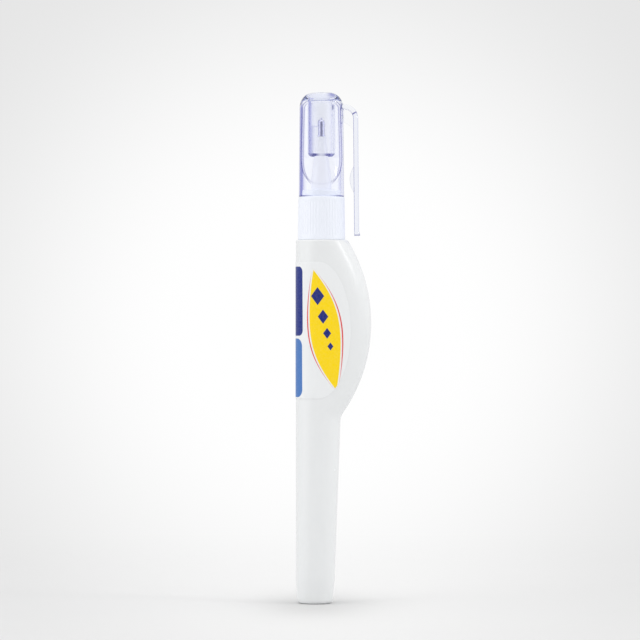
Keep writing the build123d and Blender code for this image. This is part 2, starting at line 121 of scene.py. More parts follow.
class LabelSettings(bpy.types.PropertyGroup):
    """Printed film on the bottle."""
    thickness: length("Film", "Thickness of the film", 0.12 * MM)
    oval_x: length("Oval centre", "Centre of the oval end from the spine", 6.3 * MM)
    oval_reach: length("Oval reach", "Half width of the oval end", 9.2 * MM)
    film_colour: colour("Film", "Bare film over the bottle", (0.83, 0.843, 0.851))
    deep_blue: colour("Deep blue", "Upper spine band and diamonds", (0.006, 0.022, 0.205))
    soft_blue: colour("Soft blue", "Lower spine band", (0.065, 0.185, 0.49))
    yellow: colour("Yellow", "Leaf", (0.96, 0.68, 0.0))
    red: colour("Red", "Thin strokes", (0.72, 0.045, 0.035))


class CollarSettings(bpy.types.PropertyGroup):
    """Ribbed collar."""
    base_diameter: length("Base diameter", "Collar at the shoulder", COLLAR_HIGH.x - COLLAR_LOW.x)
    top_diameter: length("Top diameter", "Collar under the cap", 13.1 * MM)
    top_z: length("Top", "Height of the deck under the cap", RIM_Z - 0.05 * MM)
    rim: length("Plain rim", "Height of the rim without ribs at each end", 0.9 * MM)
    deck: length("Deck", "Thickness over the nozzle's flange", 3.9 * MM)
    rib_depth: length("Rib depth", "Depth of the valleys", 0.08 * MM)
    spigot_diameter: length("Spigot", "Post that takes the cap", 11.04 * MM)
    ribs: IntProperty(name="Ribs", description="Number of ribs round the collar", default=48, min=3)
    collar_colour: colour("Collar", "Bluish white plastic", (0.85, 0.88, 0.955))
    gloss: factor("Gloss", "Roughness of the collar", 0.34)


class NozzleSettings(bpy.types.PropertyGroup):
    """Nozzle and metal tip."""
    flange_diameter: length("Flange", "Clamped flange", NOZZLE_HIGH.x - NOZZLE_LOW.x)
    base_diameter: length("Base", "Straight base of the cone", 5.7 * MM)
    base_height: length("Base height", "Straight base above the collar", 4.5 * MM)
    front_diameter: length("Front", "Short front of the nozzle", 2.8 * MM)
    front_height: length("Front height", "Height of the short front", 1.5 * MM)
    valve_bore: length("Valve bore", "Bore that holds the spring", 3.4 * MM)
    valve_web: length("Valve web", "Web of the nozzle below the top of the neck", 0.5 * MM)
    plug_wall: length("Plug wall", "Wall of the plug in the neck", 0.95 * MM)
    tip_diameter: length("Tip", "Metal tube", 1.85 * MM)
    tip_bore: length("Tip bore", "Bore of the tube", 0.9 * MM)
    tip_mouth: length("Tip mouth", "Hole for the needle point", 0.66 * MM)
    mouth_depth: length("Mouth depth", "Depth of that hole", 0.8 * MM)
    mouth_cone: length("Mouth cone", "Height over which the bore narrows to that hole", 0.3 * MM)
    tip_cone: length("Tip cone", "Height of the cone", 0.45 * MM)
    tip_flange: length("Tip flange", "Height of the flange on the nozzle's front", 0.4 * MM)
    nozzle_colour: colour("Nozzle", "White plastic", (0.87, 0.88, 0.935))
    gloss: factor("Gloss", "Roughness of the nozzle", 0.36)
    retainer_gloss: factor("Retainer gloss", "Roughness of the spring's retainer", 0.45)
    metal_colour: colour("Metal", "Bright metal", (0.86, 0.86, 0.95))
    tip_gloss: factor("Tip gloss", "Roughness of the metal tip", 0.08)
    needle_gloss: factor("Needle gloss", "Roughness of the needle", 0.2)
    spring_gloss: factor("Spring gloss", "Roughness of the spring's wire", 0.3)
    ball_gloss: factor("Ball gloss", "Roughness of the mixing ball", 0.1)


class CapSettings(bpy.types.PropertyGroup):
    """Clear cap with its inner tube, seal and clip arm."""
    rim_diameter: length("Rim diameter", "Outside of the cap at its rim", CAP_HIGH.y - CAP_LOW.y)
    top_diameter: length("Top diameter", "Outside of the cap below the top edge", 12.45 * MM)
    corner_width: length("Top edge width", "Quarter ellipse round the top", 3.7 * MM)
    corner_height: length("Top edge height", "Quarter ellipse round the top", 4.3 * MM)
    bore: length("Bore", "Inside of the cap at its rim", 11.2 * MM)
    draft: length("Draft", "Narrowing of the bore on each side", 0.15 * MM)
    inner_corner: length("Inner edge", "Rounding under the ceiling", 1.8 * MM)
    facet_depth: length("Facet depth", "From the axis to the middle of a facet", 5.62 * MM)
    facet_crown: length("Facet crown", "Radius of the domed facets", 7.05 * MM)
    facet_wall: length("Facet wall", "Wall behind the facets", 0.9 * MM)
    facet_soft: length("Facet crease", "Softness of the crease round a facet", 0.06 * MM)
    runout_rise: length("Run-out start", "Start of the run-out above the rim", 11.65 * MM)
    runout: length("Run-out", "Radius of the run-out", 43.0 * MM)
    tube_bore: length("Tube bore", "Inside of the inner tube", 6.1 * MM)
    tube_wall: length("Tube wall", "Wall of the inner tube", 0.78 * MM)
    tube_length: length("Tube length", "Inner tube below the ceiling", 15.8 * MM)
    tube_lead: length("Tube lead", "Height of the slanted end of the tube", 0.7 * MM)
    tube_lip: length("Tube lip", "Flat that is left at that end", 0.15 * MM)
    tint: colour("Tint", "Colour that thick clear plastic keeps", (0.05, 0.20, 0.66))
    face_tint: colour("Face tint", "Lavender of a thin wall seen flat on", (0.955, 0.963, 0.995))
    # painted shade: violet painted where the cap's side walls are seen at a slant
    painted_slant_shade: colour("Edge tint", "Violet that shows on edges seen flat", (0.60, 0.60, 0.87))
    # painted shade: violet painted along the cap's creases, rim, tube end and arm root and along the blade's
    # edges
    painted_line_shade: colour("Line tint", "Violet of the moulded edges", (0.10, 0.10, 0.36))
    # painted shade: how far from a facet's crease its violet line is painted
    line: length("Line", "Depth of the coloured crease round a facet", 0.085 * MM)
    density: number("Tint density", "Absorption per metre", 19.0)
    seal_colour: colour("Seal", "Clear soft seal", (0.995, 0.995, 1.0))
    seal_gap: length("Seal gap", "Gap between the seal and the tip", 0.1 * MM)


class ClipSettings(bpy.types.PropertyGroup):
    """Clip blade and the arm that carries it."""
    blade_x: length("Blade place", "Inner face of the blade", CAP_HIGH.x)
    thickness: length("Thickness", "Blade and arm", 1.4 * MM)
    width: length("Width", "Blade and arm across", CLIP_HIGH.y - CLIP_LOW.y)
    edge: length("Edge", "Rounding of the long edges", 0.42 * MM)
    lean: length("Lean", "Foot stands out by this", 0.25 * MM)
    arch: length("Arch", "Height of the bend above the straight blade", 4.05 * MM)
    bend_drop: length("Bend drop", "Top of the straight blade below the top of the clip", 3.4 * MM)
    fullness: number("Bend fullness", "2 is an ellipse, more is squarer", 2.5, low=1.0)
    root: length("Root", "The arm starts this far inside the cap's wall", 0.7 * MM)
    foot_height: length("Foot height", "Thicker end", 1.3 * MM)
    foot_depth: length("Foot depth", "The end stands out by this", 0.3 * MM)
    bump_rise: length("Bump", "Middle of the bump above the rim", 4.9 * MM)
    bump_length: length("Bump length", "Along the blade", 7.4 * MM)
    bump_depth: length("Bump depth", "Towards the cap", 1.13 * MM)
    bump_width: length("Bump width", "Across the blade", 1.6 * MM)
    web_width: length("Web", "Thickness of the web under the arm", 1.2 * MM)
    web_drop: length("Web drop", "Lower end of the web below the top of the clip", 6.0 * MM)
    seam: length("Seam", "Hairline between arm and blade", 0.02 * MM)
    seam_out: length("Seam place", "Outer end of the seam from the inner face of the blade", 0.5 * MM)
    seam_down: length("Seam drop", "Outer end of the seam below the top of the blade", 0.9 * MM)


class StageSettings(bpy.types.PropertyGroup):
    """Camera, floor and light."""
    pixel: length("Pixel size", "Width of one picture point at the pen", 0.2843 * MM)
    picture: IntProperty(name="Picture", description="Points across the picture", default=640, min=1)
    tail_column: number("Tail column", "Column of the tail's axis", 314.95)
    floor_row: number("Floor row", "Row of the tail face", 603.0)
    distance: length("Distance", "Camera to pen", 0.9)
    key_power: number("Key", "Soft box at the right, in watts", 0.3)
    side_power: number("Side", "Soft box at the left, in watts", 0.62)
    rim_power: number("Rim", "Soft box behind at the right, in watts", 0.06)
    card_colour: colour("Cards", "Violet cards beside the picture that only clear plastic sees",
                        (0.26, 0.27, 0.62))
    # painted shadow: how much the floor's colour is darkened round the pen's foot
    painted_shadow: factor("Contact shade", "How much darker the floor is at the pen's foot", 0.2)
    floor_colour: colour("Floor", "Pale floor and backdrop", (0.88, 0.88, 0.88))


class PenSettings(bpy.types.PropertyGroup):
    """All settings of the pen."""
    bottle: PointerProperty(type=BottleSettings)
    label: PointerProperty(type=LabelSettings)
    collar: PointerProperty(type=CollarSettings)
    nozzle: PointerProperty(type=NozzleSettings)
    cap: PointerProperty(type=CapSettings)
    clip: PointerProperty(type=ClipSettings)
    stage: PointerProperty(type=StageSettings)


# Meshes

SHARP_ANGLE = 35.0     # edges that bend by more stay sharp, in degrees
ROUNDING_SHARE = 0.45  # a rounding takes at most this share of the runs beside it
SUPPORT = 0.12 * MM    # support points stand this far from a rounding
SUPPORT_SHARE = 0.04   # and at most this share of the run


def ring_faces(rows, columns, closed_rows):
    """Quads between neighbouring rings, each ring closed on itself; closed_rows joins the last ring to
    the first."""
    row = np.arange(rows if closed_rows else rows - 1)[:, None]
    column = np.arange(columns)[None, :]
    next_row, next_column = (row + 1) % rows, (column + 1) % columns
    corners = (row * columns + column, row * columns + next_column,
               next_row * columns + next_column, next_row * columns + column)
    return np.stack(corners, -1).reshape(-1, 4)


def pole_faces(rows, columns):
    """Triangles from the first and last ring to a pole of their own."""
    column = np.arange(columns)
    following = (column + 1) % columns
    first, last = rows * columns, rows * columns + 1
    base = (rows - 1) * columns
    low = np.stack([np.full(columns, first), following, column], -1)
    high = np.stack([np.full(columns, last), base + column, base + following], -1)
    return np.concatenate([low, high])


def signed_volume(points, triangles):
    """Six times the volume inside a closed skin: the sum of the triple products of its triangles."""
    a, b, c = (points[triangles[:, i]] for i in range(3))
    return float((a * np.cross(b, c)).sum())


def smooth(mesh):
    """Shades a mesh smooth, apart from its sharp edges."""
    mesh.polygons.foreach_set("use_smooth", np.ones(len(mesh.polygons), bool))
    mesh.set_sharp_from_angle(angle=math.radians(SHARP_ANGLE))
    mesh.update()


def new_mesh(name, rings, closed_rows=False):
    """Closed mesh on a grid of rings, with faces outwards. Open ends are closed by a pole in the ring's
    middle."""
    rows, columns = rings.shape[:2]
    points = rings.reshape(-1, 3)
    quads = ring_faces(rows, columns, closed_rows)
    triangles = np.empty((0, 3), int)
    if not closed_rows:
        points = np.concatenate([points, rings[0].mean(0)[None], rings[-1].mean(0)[None]])
        triangles = pole_faces(rows, columns)
    halves = np.concatenate([quads[:, [0, 1, 2]], quads[:, [0, 2, 3]], triangles])
    if signed_volume(points, halves) < 0:
        quads, triangles = quads[:, ::-1], triangles[:, ::-1]
    mesh = bpy.data.meshes.new(name)
    mesh.from_pydata(points.tolist(), [], quads.tolist() + triangles.tolist())
    smooth(mesh)
    return mesh


def sheet_mesh(name, grid, chart):
    """Open mesh on a grid with a UV map: chart holds the two UV values of every grid point."""
    rows, columns = grid.shape[:2]
    first = np.arange(rows - 1)[:, None] * columns + np.arange(columns - 1)[None, :]
    quads = np.stack([first, first + columns, first + columns + 1, first + 1], -1).reshape(-1, 4)
    mesh = bpy.data.meshes.new(name)
    mesh.from_pydata(grid.reshape(-1, 3).tolist(), [], quads.tolist())
    layer = mesh.uv_layers.new(name="print")
    layer.data.foreach_set("uv", chart.reshape(-1, 2)[quads.reshape(-1)].astype(np.float32).ravel())
    smooth(mesh)
    return mesh


def add_object(name, data):
    """Puts a mesh, lamp or camera into the scene."""
    made = bpy.data.objects.new(name, data)
    bpy.context.scene.collection.objects.link(made)
    return made


def add_piece(name, mesh, material, body, node):
    """Puts a mesh into the scene in place of a CAD node, riding on a body."""
    mesh.name = name
    mesh.materials.append(material)
    piece = add_object(name, mesh)
    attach(piece, body)
    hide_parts(node)


def evaluated(piece):
    """Mesh of an object with its modifiers."""
    bpy.context.view_layer.update()
    return bpy.data.meshes.new_from_object(piece.evaluated_get(bpy.context.evaluated_depsgraph_get()))


def thick_sheet(sheet, thickness):
    """Closed mesh of a sheet that is given a thickness towards its inner side, with sharp edges all
    round."""
    piece = add_object("sheet", sheet)
    skin = piece.modifiers.new("film", "SOLIDIFY")
    skin.thickness, skin.offset = thickness, -1.0
    mesh = evaluated(piece)
    bpy.data.objects.remove(piece)
    smooth(mesh)
    return mesh


def joined(base, *others):
    """A mesh made of closed meshes that run into each other, with everything inside removed."""
    whole = add_object("whole", base)
    tools = [add_object("tool", mesh) for mesh in others]
    for tool in tools:
        union = whole.modifiers.new("union", "BOOLEAN")
        union.operation, union.solver, union.object = "UNION", "EXACT", tool
    result = evaluated(whole)
    for made in [whole] + tools:
        bpy.data.objects.remove(made)
    if len(result.polygons) < len(base.polygons) / 2:
        raise RuntimeError("The meshes could not be joined")
    smooth(result)
    return result


def curve_between(start, pull, end, share):
    """Quadratic curve from start to end that leaves and arrives in the direction of a pull point."""
    return (1 - share) ** 2 * start + 2 * share * (1 - share) * pull + share ** 2 * end


def soft_outline(corners, steps=5):
    """Outline through (radius, height, rounding) corners. A corner becomes a quadratic curve that starts
    and ends one rounding away from it, and a support point on each side keeps the shading of the straight
    runs flat."""
    corners = np.array(corners, float)
    places, rounding = corners[:, :2], corners[:, 2]
    share = np.linspace(0, 1, steps)[:, None]
    out = [places[:1]]
    for i in range(1, len(places) - 1):
        corner = places[i]
        if rounding[i] <= 0:
            out.append(corner[None])
            continue
        before, after = places[i - 1] - corner, places[i + 1] - corner
        run_before, run_after = np.linalg.norm(before), np.linalg.norm(after)
        reach = min(rounding[i], ROUNDING_SHARE * run_before, ROUNDING_SHARE * run_after)
        spare = min(SUPPORT, SUPPORT_SHARE * run_before, SUPPORT_SHARE * run_after)
        start, end = corner + before / run_before * reach, corner + after / run_after * reach
        out += [start[None] + before / run_before * spare, curve_between(start, corner, end, share),
                end[None] + after / run_after * spare]
    out.append(places[-1:])
    return np.concatenate(out)


def run_lengths(points):
    """Lengths of the runs between neighbouring points, and the way along from the first point."""
    runs = np.linalg.norm(np.diff(points, axis=0), axis=1)
    return runs, np.concatenate([[0], np.cumsum(runs)])


def points_at(points, along, wanted):
    """Points of a run of lines at the wanted ways along it."""
    return np.stack([np.interp(wanted, along, points[:, i]) for i in range(points.shape[1])], -1)


def densify(outline, step):
    """Adds points on the long runs of an outline so that none is longer than a step."""
    runs, along = run_lengths(outline)
    counts = np.ceil(runs / step)
    extra = [np.linspace(a, b, int(n) + 1)[1:-1] for a, b, n in zip(along, along[1:], counts) if n > 1]
    return points_at(outline, along, np.unique(np.concatenate([along] + extra)))


def evenly(points, count):
    """A curve with its points spaced evenly along its length."""
    along = run_lengths(points)[1]
    return points_at(points, along, np.linspace(0, along[-1], count))


def angles(columns):
    """Even angles round a ring, as one row."""
    return np.linspace(0, TURN, columns, endpoint=False)[None, :]


def round_neck(radius, height, phi):
    """Points at a radius, height and angle round the neck's axis, for arrays that fit each other."""
    return np.stack([NECK_X + radius * np.cos(phi), radius * np.sin(phi), height + 0 * phi], -1)


def turned(outline, columns):
    """Rings of an outline of (radius, height) turned round the neck's axis."""
    return round_neck(outline[:, :1], outline[:, 1:2], angles(columns))


def soft_max(a, b, soft):
    """Larger of two values, with a parabola of a given width where they meet."""
    share = np.clip(0.5 + 0.5 * (a - b) / soft, 0, 1)
    return b + (a - b) * share + soft * share * (1 - share)


def soft_min(a, b, soft):
    """Smaller of two values, with a parabola of a given width where they meet."""
    return -soft_max(-a, -b, soft)


# Materials

def math_node(operation, swapped=False):
    """An operator of Term: it adds a Math node on the term and the other value."""
    def method(term, *others):
        values = (*others, term) if swapped else (term, *others)
        return term.nodes.math(operation, *values)
    return method


class Term:
    """A value in a node tree. Arithmetic on it adds Math nodes, and a comparison gives 1 or 0."""
    __add__ = __radd__ = math_node("ADD")
    __mul__ = __rmul__ = math_node("MULTIPLY")
    __sub__, __rsub__ = math_node("SUBTRACT"), math_node("SUBTRACT", swapped=True)
    __truediv__, __rtruediv__ = math_node("DIVIDE"), math_node("DIVIDE", swapped=True)
    __lt__, __gt__ = math_node("LESS_THAN"), math_node("GREATER_THAN")
    __abs__ = math_node("ABSOLUTE")

    def __init__(self, nodes, socket):
        self.nodes, self.socket = nodes, socket


class Nodes:
    """A node tree under construction."""

    def __init__(self, tree):
        self.tree = tree

    def put(self, socket, value):
        """Links a term or an output to a socket, or sets a plain value on it."""
        value = value.socket if isinstance(value, Term) else value
        if isinstance(value, bpy.types.NodeSocket):
            self.tree.links.new(value, socket)
        else:
            socket.default_value = value

    def node(self, kind, inputs=None, **settings):
        """A node with its settings and inputs."""
        made = self.tree.nodes.new(kind)
        for name, value in settings.items():
            setattr(made, name, value)
        for name, value in (inputs or {}).items():
            self.put(made.inputs[name], value)
        return made

    def term(self, kind, output, inputs=None, **settings):
        """One output of a new node."""
        return Term(self, self.node(kind, inputs, **settings).outputs[output])

    def math(self, operation, *values):
        """A Math node on up to three values."""
        return self.term("ShaderNodeMath", 0, dict(enumerate(values)), operation=operation)

    def largest(self, first, *others):
        """Largest of several values."""
        for other in others:
            first = self.math("MAXIMUM", first, other)
        return first

    def distance(self, across, along):
        """Length of the hypotenuse over two values."""
        return self.math("SQRT", across * across + along * along)

    def quarter(self, share):
        """Height of a quarter circle of radius 1 at a share of its width."""
        return self.math("SQRT", 1.0 - share * share)

    def remap(self, value, low, high, to_low, to_high, soft=False):
        """A value carried from one range to another and held at its ends."""
        inputs = {"Value": value, "From Min": low, "From Max": high, "To Min": to_low, "To Max": to_high}
        kind = "SMOOTHSTEP" if soft else "LINEAR"
        return self.term("ShaderNodeMapRange", "Result", inputs, interpolation_type=kind)

    def near(self, distance, full, gone, top=1.0):
        """A top value up to a full distance, that is gone at another."""
        return self.remap(distance, full, gone, top, 0.0)

    def mix(self, share, first, second):
        """Two colours mixed by a share."""
        first, second = (value if isinstance(value, Term) else (*value, 1.0) for value in (first, second))
        return self.term("ShaderNodeMix", 2, {"Factor": share, 6: first, 7: second}, data_type="RGBA")

    def ray(self, kind):
        """1 on rays of a kind."""
        return self.term("ShaderNodeLightPath", f"Is {kind} Ray")

    def parts(self, vector):
        """The three parts of a vector."""
        return [Term(self, part) for part in self.node("ShaderNodeSeparateXYZ", {"Vector": vector}).outputs]


class Finish(Nodes):
    """A node material under construction, on Object coordinates."""

    def __init__(self, name, **values):
        self.material = bpy.data.materials.new(name)
        self.material.use_nodes = True
        super().__init__(self.material.node_tree)
        self.shader = self.tree.nodes["Principled BSDF"]
        self.output = self.tree.nodes["Material Output"]
        for socket, value in values.items():
            self.shader.inputs[socket.replace("_", " ")].default_value = value
        self.place = self.term("ShaderNodeTexCoord", "Object")

    def noise(self, cells, detail=2.0, stretch=None):
        """Noise of so many cells per metre, stretched along the axes if asked."""
        place = self.place
        if stretch is not None:
            place = self.term("ShaderNodeMapping", 0, {"Vector": place, "Scale": stretch})
        return self.term("ShaderNodeTexNoise", "Fac", {"Vector": place, "Scale": cells, "Detail": detail})

    def cloudy(self, rgb, shade, cells, detail=2.0):
        """A colour with clouds of a slightly darker shade."""
        return self.mix(self.noise(cells, detail), tuple(shade * c for c in rgb), tuple(rgb))

    def facing(self):
        """0 on a surface seen flat on, 1 on one seen along its edge."""
        return self.term("ShaderNodeLayerWeight", "Facing", {"Blend": 0.5})

    def feed(self, socket, value):
        """Links a value to a socket of the shader."""
        self.put(self.shader.inputs[socket], value)

    def bump(self, height, strength, depth):
        """Small relief on the shader's normal, its depth in metres."""
        inputs = {"Height": height, "Strength": strength, "Distance": depth}
        self.feed("Normal", self.term("ShaderNodeBump", "Normal", inputs))

    def blend(self, share, other):
        """Shows another shader by a share."""
        mixed = self.node("ShaderNodeMixShader", {0: share, 1: self.shader.outputs[0], 2: other.outputs[0]})
        self.put(self.output.inputs["Surface"], mixed.outputs[0])


# Moulded plastic: cells per metre of its clouds, gloss and grain, and how strong they are
CLOUDS = 60.0
CLOUD_SHADE = 0.985
GLOSS_CELLS = 150.0
GLOSS_SPREAD = 0.04
GRAIN = 90.0
GRAIN_DEPTH = 0.1 * MM
SEAL_GLOSS = (0.3, 0.7, 0.02, 0.08)  # range of the noise, and of the roughness that it gives


def satin_plastic(name, rgb, rough):
    """Moulded plastic: cloudy shade, uneven gloss and fine grain."""
    finish = Finish(name)
    finish.feed("Base Color", finish.cloudy(rgb, CLOUD_SHADE, CLOUDS, 1.0))
    uneven = finish.noise(GLOSS_CELLS, 1.0)
    finish.feed("Roughness", finish.remap(uneven, 0.0, 1.0, rough - GLOSS_SPREAD, rough + GLOSS_SPREAD))
    finish.bump(finish.noise(GRAIN, 1.0), strength=0.05, depth=GRAIN_DEPTH)
    return finish.material


def let_light_in(finish, rgb):
    """Lets lamps and the light between matt surfaces pass straight through a clear material."""
    straight = finish.largest(finish.ray("Shadow"), finish.ray("Diffuse"))
    finish.blend(straight, finish.node("ShaderNodeBsdfTransparent", {"Color": (*rgb, 1.0)}))


def soft_seal(name, rgb):
    """Clear soft plug that bends light only a little, with a slightly uneven gloss."""
    finish = Finish(name, Transmission_Weight=1.0, IOR=1.03)
    finish.feed("Base Color", finish.cloudy(rgb, shade=0.99, cells=300.0))
    finish.feed("Roughness", finish.remap(finish.noise(cells=900.0), *SEAL_GLOSS))
    let_light_in(finish, tuple(rgb))
    return finish.material


# Painted violet shade lines on the moulded edges of the clear plastic: full up to the first distance, gone at
# the second
RIM_LINE = (0.2 * MM, 0.45 * MM)
TUBE_LINE = (0.3 * MM, 0.5 * MM)
ROOT_LINE = (0.6 * MM, 1.1 * MM)
SEAM_LINE = (0.1 * MM, 0.35 * MM)
FOOT_LINE = (0.2 * MM, 0.5 * MM)
FINE_LINE = (0.04 * MM, 0.14 * MM)
# Fades of those lines towards the middle: two distances from it, and the share of the line at each
AROUND_FADE = (2.2 * MM, 5.2 * MM, 0.1, 1.0)
TUBE_FADE = (0.4 * MM, 1.6 * MM, 0.25, 1.0)
ROOT_RISE = 0.6 * MM                        # root of the arm above the top of the clip
ROOT_IN, ROOT_OUT = 5.6 * MM, 6.4 * MM      # and its reach from the cap's axis


def cap_painted_lines(finish, pen):
    """1 where violet shade is painted on the edges of the cap: the crease round each facet, where the
    distances to the turned skin and to the facet's circle both vanish, the rim, the lower end of the inner
    tube and the root of the arm. Crease and rim fade in the middle of the front and back, and so does the
    tube's end."""
    cap, clip = pen.cap, pen.clip
    x, y, z = finish.parts(finish.place)
    x, y = x - NECK_X, abs(y)
    aside, radius = abs(x), finish.distance(x, y)
    wide, high = cap.corner_width, cap.corner_height
    arc_z = CAP_HIGH.z - high
    bend = finish.quarter(finish.largest(z - arc_z, 0.0) / high)
    side = finish.remap(z, RIM_Z, arc_z, cap.rim_diameter / 2 - wide, cap.top_diameter / 2 - wide)
    to_skin = bend * wide + side - radius
    facet_z = RIM_Z + cap.runout_rise
    flat = finish.quarter(finish.remap(z, facet_z - cap.runout, facet_z, 1.0, 0.0))
    circle = flat * -cap.runout + (cap.facet_crown + cap.runout)
    to_facet = circle - finish.distance(x, y + (cap.facet_crown - cap.facet_depth))
    crease = finish.near(finish.largest(abs(to_skin), abs(to_facet)), FIT, cap.line)
    rim = finish.near(z - RIM_Z, *RIM_LINE)
    around = finish.remap(aside, *AROUND_FADE) * finish.largest(crease, rim)
    tube_z = CEILING_Z - cap.tube_length + cap.tube_lead / 2
    tube_r = cap.tube_bore / 2 + 1.5 * cap.tube_wall
    tube_end = finish.near(abs(z - tube_z), *TUBE_LINE) * (radius < tube_r)
    tube_end = tube_end * finish.remap(aside, *TUBE_FADE)
    root = finish.near(abs(z - (CLIP_HIGH.z + ROOT_RISE)), *ROOT_LINE, top=0.5)
    in_wall = (y < clip.width / 2) * (radius < ROOT_OUT) * (x > ROOT_IN)
    return finish.largest(around, tube_end, root * in_wall)


def blade_painted_lines(finish, pen):
    """1 where violet shade is painted on the edges of the blade: its end at the seam, its foot, the sides of
    its inner face and the sides of the bump, where the distance in front of that face equals the bump's
    parabola."""
    clip = pen.clip
    x, y, z = finish.parts(finish.place)
    aside = abs(y)
    seam_x = clip.blade_x + clip.seam_out - clip.thickness / 4
    seam_z = CLIP_HIGH.z - clip.seam_down - clip.thickness / 4
    near_top = z > CLIP_HIGH.z - 4.0 * MM
    seam = finish.near(abs((x - seam_x) - (z - seam_z)), *SEAM_LINE) * near_top
    foot = finish.near(z - CLIP_LOW.z, *FOOT_LINE, top=0.6)
    bend_z = CLIP_HIGH.z - clip.bend_drop
    ahead = finish.remap(z, CLIP_LOW.z, bend_z, clip.blade_x + clip.lean, clip.blade_x) - x
    along = (z - (RIM_Z + clip.bump_rise)) / (clip.bump_length / 2)
    bow = 1.0 - along * along
    bump = finish.near(abs(ahead - bow * clip.bump_depth), *FINE_LINE, top=0.45)
    bump = bump * (aside > clip.bump_width / 2 - 0.2 * MM) * (bow > 0.0)
    at_side = (aside > clip.width / 2 - clip.edge - 0.05 * MM) * (z < bend_z)
    side = finish.near(abs(ahead), *FINE_LINE, top=0.65) * at_side
    return finish.largest(seam, foot, bump, side)


WALL_MIDDLE = 5.5 * MM      # radius of the middle of the cap's wall
EDGES_FROM = 4.4 * MM       # radius from which walls seen at a slant get painted violet shade
HAZE = 700.0                # cells of haze and of flow ripples per metre
RIPPLES = 120.0
FLOW = (1.0, 1.0, 0.3)
HAZE_GLOSS = (0.45, 0.75, 0.0, 0.035)  # range of the noise, and of the roughness that it gives
EDGE_ON = (0.45, 0.8)       # how far a surface turns away where its painted violet shade starts and is full
CLIP_PASSES = (0.85, 0.87, 0.96)  # colour of the light that passes the clip


def clear_plastic(name, pen, edges, tinted, passes):
    """Clear moulded plastic: faint haze in the gloss, slow flow ripples, painted violet shade on walls seen
    at a slant and on the moulded edges, and a tint that grows with depth. Walls within a distance of the
    cap's wall are tinted, and light passes straight through as a colour."""
    cap = pen.cap
    finish = Finish(name, Transmission_Weight=1.0, IOR=1.5)
    x, y, z = finish.parts(finish.place)
    radius = finish.distance(x - NECK_X, y)
    face = finish.mix(abs(radius - WALL_MIDDLE) < tinted, WHITE, tuple(cap.face_tint))
    edge = finish.remap(finish.facing(), *EDGE_ON, 0.0, 1.0, soft=True)
    beside = (radius > EDGES_FROM) * (z < CAP_HIGH.z - cap.corner_height)
    wall = finish.mix(edge * beside, face, tuple(cap.painted_slant_shade))
    # painted shade: violet on walls seen at a slant, and painted violet lines on the moulded edges
    finish.feed("Base Color", finish.mix(edges(finish, pen), wall, tuple(cap.painted_line_shade)))
    finish.feed("Roughness", finish.remap(finish.noise(HAZE, detail=3.0), *HAZE_GLOSS))
    finish.bump(finish.noise(RIPPLES, 2.0, FLOW), strength=0.06, depth=0.03 * MM)
    tint = finish.node("ShaderNodeVolumeAbsorption", {"Color": (*cap.tint, 1.0), "Density": cap.density})
    finish.put(finish.output.inputs["Volume"], tint.outputs[0])
    let_light_in(finish, passes)
    return finish.material


RINGS = 900.0                     # cells of the turning marks per metre
RING_STRETCH = (0.05, 0.05, 6.0)
METAL_SHADE = (0.42, 0.42, 0.60)  # share of the metal's colour where no sheen is painted: painted dark reflection in the middle and at the edge
WIRE_SHADE = 0.85                 # the spring's wire is darker than the other metal
# Painted sheen from the middle to the edge: how far the surface turns away, and the share of painted sheen
# there
PAINTED_SHEEN_START = (0.01, 0.13, 0.0, 0.9)
PAINTED_SHEEN_END = (0.4, 0.65, 1.0, 0.3)


def turned_metal(name, rgb, rough):
    """Bright turned metal: fine rings along the axis in gloss and relief, and a painted sheen between a
    middle and an edge of painted dark reflection."""
    finish = Finish(name, Metallic=1.0)
    rings, facing = finish.noise(RINGS, 2.0, RING_STRETCH), finish.facing()
    sheen = finish.remap(facing, *PAINTED_SHEEN_START) * finish.remap(facing, *PAINTED_SHEEN_END)
    shaded = tuple(share * c for share, c in zip(METAL_SHADE, rgb))
    finish.feed("Base Color", finish.mix(rings * 0.1 + sheen, shaded, tuple(rgb)))
    finish.feed("Roughness", finish.remap(rings, 0.3, 0.7, 0.6 * rough, 1.4 * rough))
    finish.bump(rings, strength=0.15, depth=0.01 * MM)
    return finish.material


# Bottle and label

EDGE_ROWS = 9                            # rings on a rounded edge
SIDE_ROWS = np.arange(2.4, 102.4, 0.7)   # heights of the rings on the bottle's side, in millimetres
INNER_ROWS = 90                          # rings inside the bottle


def barrel_radius(z, bottle):
    """Radius of the round barrel: it widens evenly from the tail to the shoulder."""
    tail, shoulder = bottle.tail_diameter / 2, bottle.shoulder_diameter / 2
    return tail + (shoulder - tail) * z / SHOULDER_Z


def egg(z, phi, bottle, inset):
    """Section of the bottle: a half circle on the spine side and a half ellipse on the belly side. The
    ellipse reaches to the belly's arc, or to the barrel where that is wider. z and phi are arrays that
    fit each other."""
    radius = barrel_radius(z, bottle)
    centre = radius - bottle.tail_diameter / 2
    rise = np.clip(z - (SHOULDER_Z - bottle.belly_drop), -bottle.belly_radius, bottle.belly_radius)
    arc_x = bottle.belly_x - bottle.belly_radius + np.sqrt(bottle.belly_radius ** 2 - rise ** 2)
    reach = soft_max(arc_x - centre, radius, bottle.crease)
    across = np.where(np.cos(phi) > 0, reach, radius) - inset
    return np.stack([centre + across * np.cos(phi), (radius - inset) * np.sin(phi), z + 0 * phi], -1)


